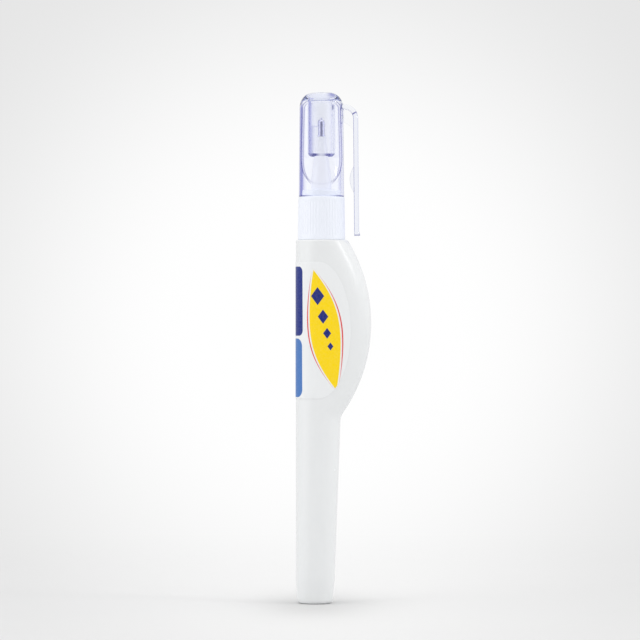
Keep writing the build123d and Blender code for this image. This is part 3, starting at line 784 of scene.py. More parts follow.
def bottle_rings(bottle, columns=144):
    """Rings from the middle of the tail up the outside, over the shoulder and neck, and down the inside
    to the middle of the floor. The tail and shoulder edges are quarter circles taken off the section as
    an inset."""
    phi = angles(columns)
    quarter = np.linspace(0, math.pi / 2, EDGE_ROWS)
    edge, top_edge = bottle.tail_edge, bottle.shoulder_edge

    def taper(heights):
        """Inset of the narrowing at the tail."""
        return bottle.tail_taper * np.clip(1 - heights / bottle.taper_height, 0, 1)

    heights = np.concatenate([edge * (1 - np.cos(quarter)), SIDE_ROWS * MM,
                              SHOULDER_Z - top_edge + top_edge * np.sin(quarter)])
    inset = np.zeros_like(heights)
    inset[:EDGE_ROWS] = edge * (1 - np.sin(quarter))
    inset[-EDGE_ROWS:] = top_edge * (1 - np.cos(quarter))
    inset += taper(heights)
    outside = egg(heights[:, None], phi, bottle, inset[:, None])
    floor = outside[0] * np.array([0.35, 0.7, 0.96])[:, None, None]
    neck_r, bore_r = bottle.neck_diameter / 2, bottle.neck_bore / 2
    inner_top = SHOULDER_Z - bottle.shoulder_wall
    neck = turned(np.array([(neck_r, SHOULDER_Z), (neck_r, NECK_TOP_Z), (bore_r, NECK_TOP_Z),
                            (bore_r, inner_top)]), columns)
    deck = outside[-1] + (neck[0] - outside[-1]) * np.array([0.06, 0.5])[:, None, None]
    inner_heights = np.linspace(inner_top, bottle.tail_wall, INNER_ROWS)
    inner_inset = bottle.wall + taper(inner_heights)
    inside = egg(inner_heights[:, None], phi, bottle, inner_inset[:, None])
    return np.concatenate([floor, outside, deck, neck, inside])


def label_grid(label, bottle, rows=110, columns=150):
    """Film on the bottle: at each height it runs from the oval's edge on the front round the spine to the
    oval's edge on the back. The edge follows a half ellipse, and its angle on the section is the arc
    cosine of its place."""
    middle, half = (LABEL_LOW.z + LABEL_HIGH.z) / 2, (LABEL_HIGH.z - LABEL_LOW.z) / 2
    rise = np.sin(np.linspace(-0.5, 0.5, rows) * math.pi)
    z = (middle + half * rise)[:, None]
    edge_x = SPINE_X + label.oval_x + label.oval_reach * np.sqrt(np.clip(1 - rise ** 2, 0, 1))[:, None]
    ahead = egg(z, np.zeros_like(z), bottle, -label.thickness)[..., 0]
    radius = barrel_radius(z, bottle)
    centre = radius - bottle.tail_diameter / 2
    across = np.where(edge_x > centre, ahead - centre, radius + label.thickness)
    limit = np.arccos(np.clip((edge_x - centre) / across, -1, 1))
    share = np.linspace(0, 1, columns)[None, :]
    phi = -limit - (TURN - 2 * limit) * share
    grid = egg(z, phi, bottle, -label.thickness)
    steps = np.linalg.norm(np.diff(grid, axis=1), axis=2)
    around = np.concatenate([np.zeros((rows, 1)), np.cumsum(steps, 1)], 1)
    around = around[:, columns // 2][:, None] - around
    return grid, around, z - middle + 0 * phi


# Layout of the print in millimetres, round from the spine to both sides and up from the film's middle
PRINT_UNIT = 100 * MM  # one UV unit of the print
PRINT_EDGE = 0.07      # softness of the printed edges
INK_CELLS, INK_COVER = 1800.0, (0.3, 0.7, 0.96, 1.0)
FILM_GLOSS, INK_SHINE = (0.32, 0.46), 0.06
# Bars: ink, width, lower and upper end, rounding
BARS = (("deep_blue", 5.6, -1.6, 18.0, 1.6), ("soft_blue", 5.3, -19.0, -2.4, 2.2))
LEAF_CENTRE, LEAF_LEAN = 12.4, -0.20
LEAF_WAVE, LEAF_WAVE_RATE = 0.7, 0.16
LEAF_HALF_WIDTH, LEAF_HALF_HEIGHT = 4.3, 17.0
STROKE_HALF_WIDTH, STROKE_HALF_HEIGHT, STROKE_GAP = 5.1, 17.6, 0.42
# Diamonds: place round, place up, half width
DIAMONDS = ((10.4, 9.6, 1.9), (11.9, 3.8, 1.5), (13.0, -0.9, 1.15), (13.9, -4.6, 0.85))
DIAMOND_RISE = 1.35    # half height of a diamond over its half width


def label_print(label):
    """Printed film: a deep blue and a soft blue band on the spine, a leaning yellow leaf between thin red
    strokes, and a row of diamonds. Each shape is where its distance to its edge is negative."""
    finish = Finish("label_print", Specular_IOR_Level=0.15)
    u, v, _ = finish.parts(finish.term("ShaderNodeUVMap", 0, uv_map="print"))
    u, v = abs(u * (PRINT_UNIT / MM)), v * (PRINT_UNIT / MM)

    def inside(distance):
        """1 where a distance to an edge is negative, with a thin soft border."""
        return finish.remap(distance, -PRINT_EDGE, PRINT_EDGE, 1.0, 0.0)

    def rounded_bar(width, low, high, radius):
        """Distance to a bar on the spine: its rounded corner is on the side away from the spine."""
        across = u + (radius - width)
        up = abs(v - (low + high) / 2) + (radius - (high - low) / 2)
        outer = finish.distance(finish.largest(across, 0.0), finish.largest(up, 0.0))
        return outer + finish.math("MINIMUM", finish.largest(across, up), 0.0) - radius

    def leaf(half_width, half_height):
        """Distance to a leaf whose middle line leans and waves and whose width shrinks to both ends."""
        line = v * LEAF_LEAN + LEAF_CENTRE + finish.math("SINE", v * LEAF_WAVE_RATE) * LEAF_WAVE
        end = abs(v) / half_height
        return abs(u - line) - finish.largest(1.0 - end * end, -0.2) * half_width

    def diamond(centre_u, centre_v, size):
        """Distance to a diamond: the sum of its two scaled distances, less one."""
        return (abs(u - centre_u) / size + abs(v - centre_v) / (DIAMOND_RISE * size) - 1.0) * size

    body = leaf(LEAF_HALF_WIDTH, LEAF_HALF_HEIGHT)
    strokes = finish.largest(leaf(STROKE_HALF_WIDTH, STROKE_HALF_HEIGHT), STROKE_GAP - body)
    layers = [(body, label.yellow), (strokes, label.red)]
    layers += [(rounded_bar(*sizes), getattr(label, ink)) for ink, *sizes in BARS]
    layers += [(diamond(*place), label.deep_blue) for place in DIAMONDS]
    ink = finish.remap(finish.noise(INK_CELLS), *INK_COVER)
    paint, printed = finish.cloudy(label.film_colour, CLOUD_SHADE, CLOUDS, 1.0), 0.0
    for distance, rgb in layers:
        cover = inside(distance) * ink
        paint = finish.mix(cover, paint, tuple(rgb))
        printed = finish.largest(cover, printed)
    finish.feed("Base Color", paint)
    film_gloss = finish.remap(finish.noise(GLOSS_CELLS, 1.0), 0.0, 1.0, *FILM_GLOSS)
    finish.feed("Roughness", printed * -INK_SHINE + film_gloss)
    finish.bump(printed + finish.noise(GRAIN, 1.0), strength=0.1, depth=0.02 * MM)
    return finish.material


# Collar, nozzle and tip

RIB_COLUMNS = 8          # points across a rib
RIB_STEEPNESS = 0.95
RIB_RUNOUT = 0.35 * MM   # height over which the valleys fade at the plain rims


def rib_valley(phi, ribs):
    """0 on a crest and 1 in a valley: a cosine wave, steepened so that crests and valleys are nearly
    flat."""
    return np.clip(0.5 - RIB_STEEPNESS * np.cos(ribs * phi), 0, 1)


def collar_rings(collar, nozzle, bottle):
    """Rings that start in the bore, go round the base, up the ribbed outside, over the deck and spigot,
    down the nozzle's hole and back along the deck's underside. Valleys are taken off the radius between
    the plain rims."""
    base_r, top_r, spigot_r = collar.base_diameter / 2, collar.top_diameter / 2, collar.spigot_diameter / 2
    bore_r, hole_r = bottle.neck_diameter / 2 + FIT, nozzle.base_diameter / 2 + FIT
    top_z, deck_z, spigot_z = collar.top_z, collar.top_z - collar.deck, COLLAR_HIGH.z
    slight, rounded = 0.1 * MM, 0.25 * MM
    outline = densify(soft_outline([
        (bore_r, deck_z, 0), (bore_r, SHOULDER_Z, slight), (base_r, SHOULDER_Z, rounded),
        (top_r, top_z, rounded), (spigot_r, top_z, slight), (spigot_r, spigot_z, 0.4 * MM),
        (hole_r, spigot_z, slight), (hole_r, deck_z, 0)]), 0.3 * MM)
    radius, z = outline[:, :1], outline[:, 1:2]
    skin_r = base_r + (top_r - base_r) * (z - SHOULDER_Z) / (top_z - SHOULDER_Z)
    on_skin = radius > skin_r - 0.05 * MM
    rise = np.minimum(z - SHOULDER_Z, top_z - z) - collar.rim
    depth = collar.rib_depth * np.clip(rise / RIB_RUNOUT, 0, 1) * on_skin
    phi = angles(collar.ribs * RIB_COLUMNS)
    return round_neck(radius - depth * rib_valley(phi, collar.ribs), z, phi)


def nozzle_rings(nozzle, bottle, collar):
    """Turned nozzle: plug, flange, straight base, cone and front, with the bores inside."""
    plug_r = bottle.neck_bore / 2 - FIT
    hollow_r = plug_r - nozzle.plug_wall
    base_r, front_r = nozzle.base_diameter / 2, nozzle.front_diameter / 2
    flange_r = nozzle.flange_diameter / 2
    shank_r, bore_r = nozzle.tip_diameter / 2 + FIT, nozzle.valve_bore / 2
    flange_z = collar.top_z - collar.deck - FIT
    top_z = NOZZLE_HIGH.z
    base_z, cone_z = collar.top_z + nozzle.base_height, top_z - nozzle.front_height
    web_z = NECK_TOP_Z - nozzle.valve_web
    slight, soft = 0.15 * MM, 0.8 * MM
    outline = soft_outline([
        (hollow_r, web_z, 0), (hollow_r, NOZZLE_LOW.z, slight), (plug_r, NOZZLE_LOW.z, slight),
        (plug_r, NECK_TOP_Z, 0), (flange_r, NECK_TOP_Z, slight), (flange_r, flange_z, slight),
        (base_r, flange_z, slight), (base_r, base_z, soft), (front_r, cone_z, soft),
        (front_r, top_z, 0.2 * MM), (shank_r, top_z, 0), (shank_r, TIP_LOW.z, 0),
        (bore_r, TIP_LOW.z, 0), (bore_r, web_z, 0)])
    return turned(densify(outline, 1.0 * MM), 80)


def tip_rings(nozzle):
    """Turned metal tip: shank in the nozzle, small flange, tube, cone and mouth."""
    tip_r, bore_r, mouth_r = nozzle.tip_diameter / 2, nozzle.tip_bore / 2, nozzle.tip_mouth / 2
    flange_r = (TIP_HIGH.x - TIP_LOW.x) / 2
    base_z, top_z = NOZZLE_HIGH.z, TIP_HIGH.z
    flange_z, mouth_z = base_z + nozzle.tip_flange, top_z - nozzle.mouth_depth
    slight = 0.06 * MM
    outline = soft_outline([
        (bore_r, TIP_LOW.z, 0), (tip_r, TIP_LOW.z, slight), (tip_r, base_z, 0), (flange_r, base_z, slight),
        (flange_r, flange_z, slight), (tip_r, flange_z, slight), (tip_r, top_z - nozzle.tip_cone, 0.2 * MM),
        (bore_r, top_z, slight), (mouth_r, top_z, slight), (mouth_r, mouth_z, 0),
        (bore_r, mouth_z - nozzle.mouth_cone, 0)])
    return turned(densify(outline, 0.5 * MM), 64)


# Cap, seal and clip

def facet_reach(z, phi, cap, inset):
    """Distance from the axis to a domed facet in the direction phi: the facet is a circle whose centre
    lies behind the axis, and its radius grows along a circular run-out below the facet."""
    behind = cap.facet_crown - cap.facet_depth
    runout = cap.runout + inset
    below = np.clip((RIM_Z + cap.runout_rise - z) / runout, 0, 1)
    radius = cap.facet_crown - inset + runout * (1 - np.sqrt(1 - below ** 2))
    return np.sqrt(radius ** 2 - (behind * np.cos(phi)) ** 2) - behind * np.abs(np.sin(phi))


def cap_rings(cap, columns=300):
    """Rings from the middle of the top down the outside, round the rim, up the bore, in along the
    ceiling, down and up the inner tube, and in to the middle of the tube's ceiling. Facets cut the
    outside and the bore."""
    rim_r, top_r, bore_r = cap.rim_diameter / 2, cap.top_diameter / 2, cap.bore / 2
    tube_r = cap.tube_bore / 2
    tube_out, tube_z = tube_r + cap.tube_wall, CEILING_Z - cap.tube_length
    top_z, soft, slight = CAP_HIGH.z, 0.3 * MM, 0.08 * MM
    quarter = np.linspace(0, math.pi / 2, 15)[:, None]
    wide, high = cap.corner_width, cap.corner_height
    arc = np.concatenate([top_r - wide * (1 - np.sin(quarter)), top_z - high * (1 - np.cos(quarter))], 1)
    under = ((rim_r + bore_r) / 2, RIM_Z, 0)
    side = soft_outline([(top_r, top_z - high, 0), (rim_r, RIM_Z, soft), under])[1:]
    outside = densify(np.concatenate([[(0.6 * MM, top_z), (2.2 * MM, top_z)], arc, side]), 0.45 * MM)
    inside = densify(soft_outline([
        under, (bore_r, RIM_Z, soft), (bore_r - cap.draft, CEILING_Z, cap.inner_corner),
        (tube_out, CEILING_Z, 0.35 * MM), (tube_out, tube_z + cap.tube_lead, 0.1 * MM),
        (tube_r + cap.tube_lip, tube_z, slight), (tube_r, tube_z, slight), (tube_r, CEILING_Z, 0.15 * MM),
        (0.4 * MM, CEILING_Z, 0)], 7)[1:], 0.7 * MM)
    outline = np.concatenate([outside, inside])
    outer = (np.arange(len(outline)) < len(outside))[:, None]
    phi = angles(columns)
    radius, z = outline[:, :1], outline[:, 1:2]
    facet = facet_reach(z, phi, cap, np.where(outer, 0, cap.facet_wall))
    return round_neck(soft_min(radius, facet, cap.facet_soft), z, phi)


def seal_rings(nozzle, cap):
    """Turned plug with a stepped hole that closes round the metal tip."""
    seal_r, gap, slight = (SEAL_HIGH.x - SEAL_LOW.x) / 2, cap.seal_gap, 0.1 * MM
    hole_r, rim_r = nozzle.tip_diameter / 2 + gap, nozzle.tip_bore / 2 + gap
    top_z, cone_z = CEILING_Z - FIT, TIP_HIGH.z - nozzle.tip_cone + gap
    outline = soft_outline([
        (0.2 * MM, top_z, 0), (seal_r, top_z, 0.3 * MM), (seal_r, SEAL_LOW.z, 0.35 * MM),
        (hole_r, SEAL_LOW.z, 0.25 * MM), (hole_r, cone_z, slight), (rim_r, TIP_HIGH.z + gap, 0),
        (rim_r, POINT_Z + gap, slight), (0.1 * MM, POINT_Z + gap, 0)])
    return turned(densify(outline, 0.4 * MM), 72)


CLIP_ROWS = 420  # points along arm and blade
WEB_ROWS = 160   # points along them where only the web follows
WEB_POINTS = 40  # points along the web


def clip_path(clip, cap, rows=CLIP_ROWS):
    """Middle line of arm and blade in the XZ plane with its outward normal. A quarter of a superellipse,
    fuller than an ellipse, leads from the cap's wall over the bend, and a line that leans outwards leads
    down to the foot."""
    start_x = NECK_X + cap.top_diameter / 2 - clip.root
    blade_x = clip.blade_x + clip.thickness / 2
    bend_z = CLIP_HIGH.z - clip.bend_drop
    angle = np.linspace(0, math.pi / 2, rows // 2)
    reach = blade_x - start_x
    power = 2 / clip.fullness
    out, up = np.clip(np.sin(angle), 0, 1), np.clip(np.cos(angle), 0, 1)
    bend = np.stack([start_x + reach * out ** power, bend_z + clip.arch * up ** power], -1)
    bend_normal = np.stack([clip.arch * out ** (2 - power), reach * up ** (2 - power)], -1)
    down = np.linspace(0, 1, rows - rows // 2 + 1)[1:]
    straight = np.stack([blade_x + clip.lean * down, bend_z + (CLIP_LOW.z - bend_z) * down], -1)
    normal = np.concatenate([bend_normal, np.tile(bend_normal[-1], (len(down), 1))])
    return np.concatenate([bend, straight]), normal / np.linalg.norm(normal, axis=1)[:, None]


def bar_section(thickness, width, radius, side, corner=6):
    """Rounded rectangle as (outwards, across) points: straight sides with quarter circles at the corners.
    side holds the places across of the points on the two wide faces."""
    half_t, half_w = thickness / 2 - radius, width / 2 - radius
    quarter = np.linspace(0, math.pi / 2, corner)
    parts = []
    for turn, (out, wide) in enumerate(((1, 1), (-1, 1), (-1, -1), (1, -1))):
        angle = quarter + turn * math.pi / 2
        across = wide * half_w + radius * np.sin(angle)
        parts.append(np.stack([out * half_t + radius * np.cos(angle), across], -1))
        if turn % 2:
            parts.append(np.stack([np.full(len(side), out * thickness / 2), out * np.sort(out * side)], -1))
    return np.concatenate(parts)


def carried(path, normal, section):
    """Rings of a section carried along a path in the XZ plane: its first value goes along the normal, its
    second along Y."""
    out, across = section[..., 0], section[..., 1]
    x = path[:, :1] + normal[:, :1] * out
    z = path[:, 1:] + normal[:, 1:] * out
    return np.stack([x, across + 0 * x, z], -1)


def split_row(path, normal, clip):
    """Row of the path where the arm ends: its outer edge is nearest to the seam's outer end there."""
    outer = path + normal * clip.thickness / 2
    end = np.array([clip.blade_x + clip.seam_out, CLIP_HIGH.z - clip.seam_down])
    return int(np.argmin(np.linalg.norm(outer - end, axis=1)))


def web_rings(clip, cap):
    """Thin web under the arm, as a strip between two curves that is as thick as the web. The upper curve
    follows the arm and the inside of the blade, the lower one is a hollow curve from the cap's wall to
    the blade."""
    path, normal = clip_path(clip, cap, WEB_ROWS)
    split = split_row(path, normal, clip)
    row = np.arange(len(path))
    inside = np.where(row < split, -0.3 * MM, clip.seam)[:, None]
    inner = path - normal * (clip.thickness / 2 + inside)
    clear = (np.abs(row - split) > 2) & (inner[:, 1] > CLIP_HIGH.z - clip.web_drop)
    upper = evenly(inner[clear], WEB_POINTS)
    root = np.array([path[0, 0], CLIP_HIGH.z - clip.bend_drop])
    low = upper[-1] - np.array([0.1, 0.1]) * MM
    pull = (low + root) / 2 + np.array([0.5, 0.7]) * MM
    lower = curve_between(root, pull, low, np.linspace(0, 1, WEB_POINTS)[:, None])
    half = clip.web_width / 2
    strip = np.stack([upper, upper, lower, lower], 1)
    across = np.tile(np.array([half, -half, -half, half]), (WEB_POINTS, 1))
    return np.stack([strip[..., 0], across, strip[..., 1]], -1)


def clip_rings(clip, cap):
    """Blade from the seam to the foot. The inner face rises towards the cap as a bump, a parabola along
    the blade and a narrow band across it; the outer face swells at the foot."""
    path, normal = clip_path(clip, cap)
    split = split_row(path, normal, clip) + 1
    path, normal = path[split:], normal[split:]
    path = path + np.where(np.arange(len(path)) == 0, clip.seam, 0)[:, None] * np.array([0.7, -0.7])
    half = clip.bump_width / 2
    beyond = np.linspace(half, clip.width / 2 - clip.edge, 6)[1:-1]
    side = np.concatenate([np.linspace(-half, half, 7) * 0.98, [-half, half], beyond])
    side = np.unique(np.concatenate([side, -side]))
    section = np.tile(bar_section(clip.thickness, clip.width, clip.edge, side), (len(path), 1, 1))
    along = path[:, 1:]
    middle = RIM_Z + clip.bump_rise
    bump = np.clip(1 - ((along - middle) / (clip.bump_length / 2)) ** 2, 0, 1) * clip.bump_depth
    inward = section[..., 0] < 0
    band = np.abs(section[..., 1]) < 0.99 * half
    foot = np.clip(1 - (along - CLIP_LOW.z) / clip.foot_height, 0, 1) * clip.foot_depth
    section[..., 0] += np.where(inward, -bump * band, foot)
    return carried(path, normal, section)


def arm_rings(clip, cap):
    """Arm from inside the cap's wall to the seam."""
    path, normal = clip_path(clip, cap)
    split = split_row(path, normal, clip)
    side = np.linspace(-0.9, 0.9, 10) * (clip.width / 2 - clip.edge)
    return carried(path[:split], normal[:split], bar_section(clip.thickness, clip.width, clip.edge, side))


# Operators

class PenOperator:
    """What the operators share."""
    bl_options = {"REGISTER"}

    @staticmethod
    def settings(context):
        """Settings of the pen."""
        return context.scene.correction_pen


class PEN_OT_bottle(PenOperator, bpy.types.Operator):
    """Build the squeeze bottle"""
    bl_idname = "correction_pen.bottle"
    bl_label = "Bottle"

    def execute(self, context):
        bottle = self.settings(context).bottle
        plastic = satin_plastic("bottle_plastic", bottle.body_colour, bottle.gloss)
        mesh = new_mesh("bottle", bottle_rings(bottle))
        add_piece("bottle", mesh, plastic, "barrel", "squeeze_bottle")
        return {"FINISHED"}


class PEN_OT_label(PenOperator, bpy.types.Operator):
    """Build the printed film on the bottle"""
    bl_idname = "correction_pen.label"
    bl_label = "Label"

    def execute(self, context):
        pen = self.settings(context)
        grid, around, up = label_grid(pen.label, pen.bottle)
        chart = np.stack([around, up], -1) / PRINT_UNIT
        film = thick_sheet(sheet_mesh("sheet", grid, chart), pen.label.thickness)
        add_piece("label_film", film, label_print(pen.label), "barrel", "wrap_label")
        return {"FINISHED"}


class PEN_OT_collar(PenOperator, bpy.types.Operator):
    """Build the ribbed collar"""
    bl_idname = "correction_pen.collar"
    bl_label = "Collar"

    def execute(self, context):
        pen = self.settings(context)
        plastic = satin_plastic("collar_plastic", pen.collar.collar_colour, pen.collar.gloss)
        mesh = new_mesh("collar", collar_rings(pen.collar, pen.nozzle, pen.bottle), closed_rows=True)
        add_piece("collar", mesh, plastic, "barrel", "grip_collar")
        return {"FINISHED"}


class PEN_OT_nozzle(PenOperator, bpy.types.Operator):
    """Build the nozzle and the metal tip"""
    bl_idname = "correction_pen.nozzle"
    bl_label = "Nozzle and tip"

    def execute(self, context):
        pen = self.settings(context)
        plastic = satin_plastic("nozzle_plastic", pen.nozzle.nozzle_colour, pen.nozzle.gloss)
        cone = new_mesh("nozzle_cone", nozzle_rings(pen.nozzle, pen.bottle, pen.collar), closed_rows=True)
        add_piece("nozzle_cone", cone, plastic, "barrel", "nozzle")
        metal = turned_metal("tip_metal", pen.nozzle.metal_colour, pen.nozzle.tip_gloss)
        tube = new_mesh("tip_tube", tip_rings(pen.nozzle), closed_rows=True)
        add_piece("tip_tube", tube, metal, "barrel", "metal_tip")
        return {"FINISHED"}


class PEN_OT_cap(PenOperator, bpy.types.Operator):
    """Build the clear cap with its arm and web, and the seal inside"""
    bl_idname = "correction_pen.cap"
    bl_label = "Cap and seal"

    def execute(self, context):
        pen = self.settings(context)
        clear = clear_plastic("cap_plastic", pen, cap_painted_lines, tinted=1.1 * MM, passes=WHITE)
        shell = joined(new_mesh("shell", cap_rings(pen.cap)), new_mesh("arm", arm_rings(pen.clip, pen.cap)),
                       new_mesh("web", web_rings(pen.clip, pen.cap)))
        add_piece("clear_cap", shell, clear, "cap", "cap_shell")
        soft = soft_seal("seal_soft", pen.cap.seal_colour)
        seal = new_mesh("cap_seal", seal_rings(pen.nozzle, pen.cap))
        add_piece("cap_seal", seal, soft, "cap", "tip_seal")
        return {"FINISHED"}


class PEN_OT_clip(PenOperator, bpy.types.Operator):
    """Build the clip blade"""
    bl_idname = "correction_pen.clip"
    bl_label = "Clip"

    def execute(self, context):
        pen = self.settings(context)
        clear = clear_plastic("clip_plastic", pen, blade_painted_lines, tinted=30 * MM, passes=CLIP_PASSES)
        blade = new_mesh("clip_blade", clip_rings(pen.clip, pen.cap))
        add_piece("clip_blade", blade, clear, "clip", "pocket_clip")
        return {"FINISHED"}


class PEN_OT_inner_parts(PenOperator, bpy.types.Operator):
    """Finish the CAD pieces inside: needle, spring, retainer and mixing ball"""
    bl_idname = "correction_pen.inner_parts"
    bl_label = "Inner parts"

    def execute(self, context):
        nozzle = self.settings(context).nozzle
        metal = tuple(nozzle.metal_colour)
        wire = tuple(WIRE_SHADE * c for c in metal)
        finishes = {
            "valve_needle": turned_metal("needle_steel", metal, nozzle.needle_gloss),
            "valve_spring": turned_metal("spring_steel", wire, nozzle.spring_gloss),
            "mixing_ball": turned_metal("ball_steel", metal, nozzle.ball_gloss),
            "spring_retainer": satin_plastic("retainer_plastic", nozzle.nozzle_colour,
                                             nozzle.retainer_gloss),
        }
        for node, material in finishes.items():
            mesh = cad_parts[node].data
            mesh.materials.clear()
            mesh.materials.append(material)
        return {"FINISHED"}


# Stage, with lengths in metres
SWEEP_HALF_WIDTH, SWEEP_FRONT, SWEEP_BACK, SWEEP_HEIGHT, SWEEP_RADIUS = 3.0, -3.0, 1.7, 2.4, 0.6
# painted shadow: half width, half depth and forward shift of the dark oval painted round the pen's foot
PAINTED_SHADOW_WIDTH, PAINTED_SHADOW_DEPTH, PAINTED_SHADOW_AHEAD = 15 * MM, 35 * MM, 6 * MM
GREY_LEVEL = 0.795              # painted falloff of light: level of the backdrop in the picture's corners
WHITE_FADE = (0.035, 0.130)     # distances from the picture's middle where the painted pool of light starts and ends to grey
CARD_SIDES = (-0.05, 0.05, 1.0, 0.08)  # the left card is full, the right one faint
CARD_FADE = (0.06, 0.27)        # distances from the middle where the cards start and are full
FLOOR_END = (0.03, 0.30)        # depth where the shaded floor turns into the plain backdrop
SKY_FRONT, SKY_BACK, SKY_TURN = 0.83, 1.27, (-1.0, -0.2)  # levels and the directions between them
DARK_CARD, CARD_TURN = 0.28, (-0.97, -0.7)  # how much darker reflections see the side of the camera
SKY_VIOLET = 0.1                # share of the cards' colour in the sky that clear plastic sees
BOUNCES = 64
SENSOR = 36.0
KEY_BOX = ((0.50, -0.18, 0.285), 0.10, 0.14)   # place, width and height of the soft boxes
SIDE_BOX = ((-0.55, -0.28, 0.22), 0.4, 0.7)
RIM_BOX = ((0.52, 0.46, 0.14), 0.3, 0.5)


def sweep_profile():
    """Profile of floor and backdrop as (depth, height) points: flat floor, quarter circle, upright
    wall."""
    quarter = np.linspace(0, math.pi / 2, 25)
    bend = np.stack([SWEEP_BACK - SWEEP_RADIUS + SWEEP_RADIUS * np.sin(quarter),
                     SWEEP_RADIUS * (1 - np.cos(quarter))], -1)
    return np.concatenate([[(SWEEP_FRONT, 0.0)], bend, [(SWEEP_BACK, SWEEP_HEIGHT)]])


def add_lamp(name, box, target, power):
    """Soft box that faces a point."""
    place, width, height = box
    lamp = bpy.data.lights.new(name, "AREA")
    lamp.shape, lamp.size, lamp.size_y, lamp.energy = "RECTANGLE", width, height, power
    made = add_object(name, lamp)
    made.location = place
    made.visible_camera = made.visible_transmission = False
    made.rotation_euler = (Vector(target) - Vector(place)).to_track_quat("-Z", "Y").to_euler()


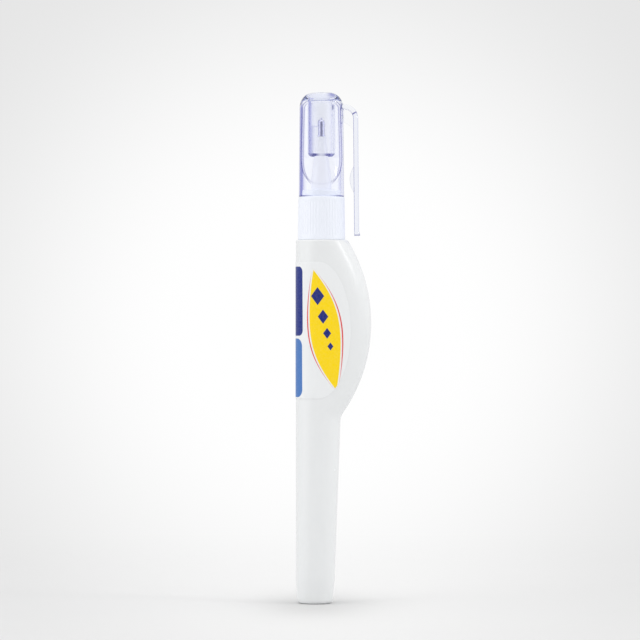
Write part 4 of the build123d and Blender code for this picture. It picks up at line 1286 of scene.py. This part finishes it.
class PEN_OT_stage(PenOperator, bpy.types.Operator):
    """Set up the floor, backdrop, light and camera"""
    bl_idname = "correction_pen.stage"
    bl_label = "Stage"

    def execute(self, context):
        stage = self.settings(context).stage
        scene = context.scene
        scene.view_settings.view_transform = "Standard"
        scene.cycles.max_bounces = scene.cycles.glossy_bounces = scene.cycles.transmission_bounces = BOUNCES
        scene.cycles.caustics_reflective = scene.cycles.caustics_refractive = False
        middle = stage.picture / 2
        right, up = middle - stage.tail_column, stage.floor_row - middle
        aim = Vector((right * stage.pixel, 0.0, up * stage.pixel))
        self.add_floor(stage, aim)
        self.add_light(stage, aim)
        camera = bpy.data.cameras.new("camera")
        camera.sensor_width = SENSOR
        camera.lens = SENSOR * stage.distance / (stage.picture * stage.pixel)
        camera.clip_end = 20.0
        eye = add_object("camera", camera)
        eye.location = aim - Vector((0.0, stage.distance, 0.0))
        eye.rotation_euler = (math.pi / 2, 0.0, 0.0)
        scene.camera = eye
        return {"FINISHED"}

    @staticmethod
    def add_floor(stage, aim):
        """One pale sweep. Where the camera, a reflection or clear plastic looks at the wall it shows a
        painted
            pool of light: plain white that greys slowly away from the pen. The floor near the pen keeps its
                shade
            and has the same painted pool of light in its colour, with a painted shadow round the pen's foot."""
        profile = sweep_profile()
        grid = np.stack([np.stack([np.full(len(profile), x), profile[:, 0], profile[:, 1]], -1)
                         for x in (-SWEEP_HALF_WIDTH, 0.0, SWEEP_HALF_WIDTH)])
        sweep = add_object("floor", sheet_mesh("floor", grid, np.zeros(grid.shape[:2] + (2,))))
        finish = Finish("floor_paper", Roughness=0.9, Specular_IOR_Level=0.0)
        x, y, z = finish.parts(finish.place)
        reach = stage.distance / (y + stage.distance)
        across = (x - aim.x) * reach
        away = finish.distance(across, (z - aim.z) * reach)
        # painted pool of light: white round the pen, greying towards the picture's corners, used in the glow
        # and in the floor's colour
        white = finish.remap(away, *WHITE_FADE, 1.0, GREY_LEVEL, soft=True)
        through = finish.ray("Transmission")
        cards = finish.remap(across, *CARD_SIDES) * finish.remap(away, *CARD_FADE, 0.0, 1.0, soft=True)
        seen = finish.mix(through * cards, WHITE, tuple(stage.card_colour))
        bright = finish.largest(white, through)
        glow = finish.node("ShaderNodeEmission", {"Color": seen, "Strength": bright})
        # painted shadow: the floor's colour darkens in an oval round the pen's foot
        near_x, near_y = x / PAINTED_SHADOW_WIDTH, (y + PAINTED_SHADOW_AHEAD) / PAINTED_SHADOW_DEPTH
        under = finish.math("EXPONENT", (near_x * near_x + near_y * near_y) * -1.0)
        level = white * (under * -stage.painted_shadow + 1.0)
        paper = finish.cloudy(stage.floor_colour, shade=0.99, cells=40.0)
        dimmed = finish.term("ShaderNodeVectorMath", 0, {0: paper, "Scale": level}, operation="SCALE")
        finish.feed("Base Color", dimmed)
        looked = finish.largest(finish.ray("Camera"), finish.ray("Glossy"), through)
        finish.blend(looked * finish.remap(y, *FLOOR_END, 0.0, 1.0, soft=True), glow)
        sweep.data.materials.append(finish.material)

    @staticmethod
    def add_light(stage, aim):
        """White surroundings that are dimmer behind the camera, and a soft box on each side."""
        world = bpy.data.worlds.new("studio")
        bpy.context.scene.world = world
        world.use_nodes = True
        studio = Nodes(world.node_tree)
        sky = studio.tree.nodes["Background"].inputs
        depth = studio.parts(studio.term("ShaderNodeTexCoord", "Generated"))[1]
        level = studio.remap(depth, *SKY_TURN, SKY_FRONT, SKY_BACK, soft=True)
        dark = studio.ray("Glossy") * studio.remap(depth, *CARD_TURN, DARK_CARD, 0.0, soft=True)
        through = studio.ray("Transmission") * SKY_VIOLET
        studio.put(sky["Color"], studio.mix(through, WHITE, tuple(stage.card_colour)))
        studio.put(sky["Strength"], level * (1.0 - dark))
        add_lamp("key_box", KEY_BOX, aim, stage.key_power)
        add_lamp("side_box", SIDE_BOX, aim, stage.side_power)
        add_lamp("rim_box", RIM_BOX, aim, stage.rim_power)


OPERATORS = (PEN_OT_bottle, PEN_OT_label, PEN_OT_collar, PEN_OT_nozzle, PEN_OT_cap, PEN_OT_clip,
             PEN_OT_inner_parts, PEN_OT_stage)


class PEN_PT_panel(bpy.types.Panel):
    """Settings and steps of the pen"""
    bl_idname = "PEN_PT_panel"
    bl_label = "Correction pen"
    bl_space_type = "VIEW_3D"
    bl_region_type = "UI"
    bl_category = "Correction pen"

    def draw(self, context):
        pen = context.scene.correction_pen
        for group in PenSettings.__annotations__:
            box = self.layout.box()
            box.label(text=group.capitalize())
            settings = getattr(pen, group)
            for name in settings.__annotations__:
                box.prop(settings, name)
        for operator in OPERATORS:
            self.layout.operator(operator.bl_idname)


CLASSES = (BottleSettings, LabelSettings, CollarSettings, NozzleSettings, CapSettings, ClipSettings,
           StageSettings, PenSettings, *OPERATORS, PEN_PT_panel)


def register():
    """Adds the classes and the pen's settings to Blender."""
    for cls in CLASSES:
        bpy.utils.register_class(cls)
    bpy.types.Scene.correction_pen = PointerProperty(type=PenSettings)


def unregister():
    """Takes them out again."""
    del bpy.types.Scene.correction_pen
    for cls in reversed(CLASSES):
        bpy.utils.unregister_class(cls)


def main():
    """Builds the pen and its stage."""
    register()
    bpy.ops.correction_pen.bottle()
    bpy.ops.correction_pen.label()
    bpy.ops.correction_pen.collar()
    bpy.ops.correction_pen.nozzle()
    bpy.ops.correction_pen.cap()
    bpy.ops.correction_pen.clip()
    bpy.ops.correction_pen.inner_parts()
    bpy.ops.correction_pen.stage()


if __name__ == "__main__":
    main()
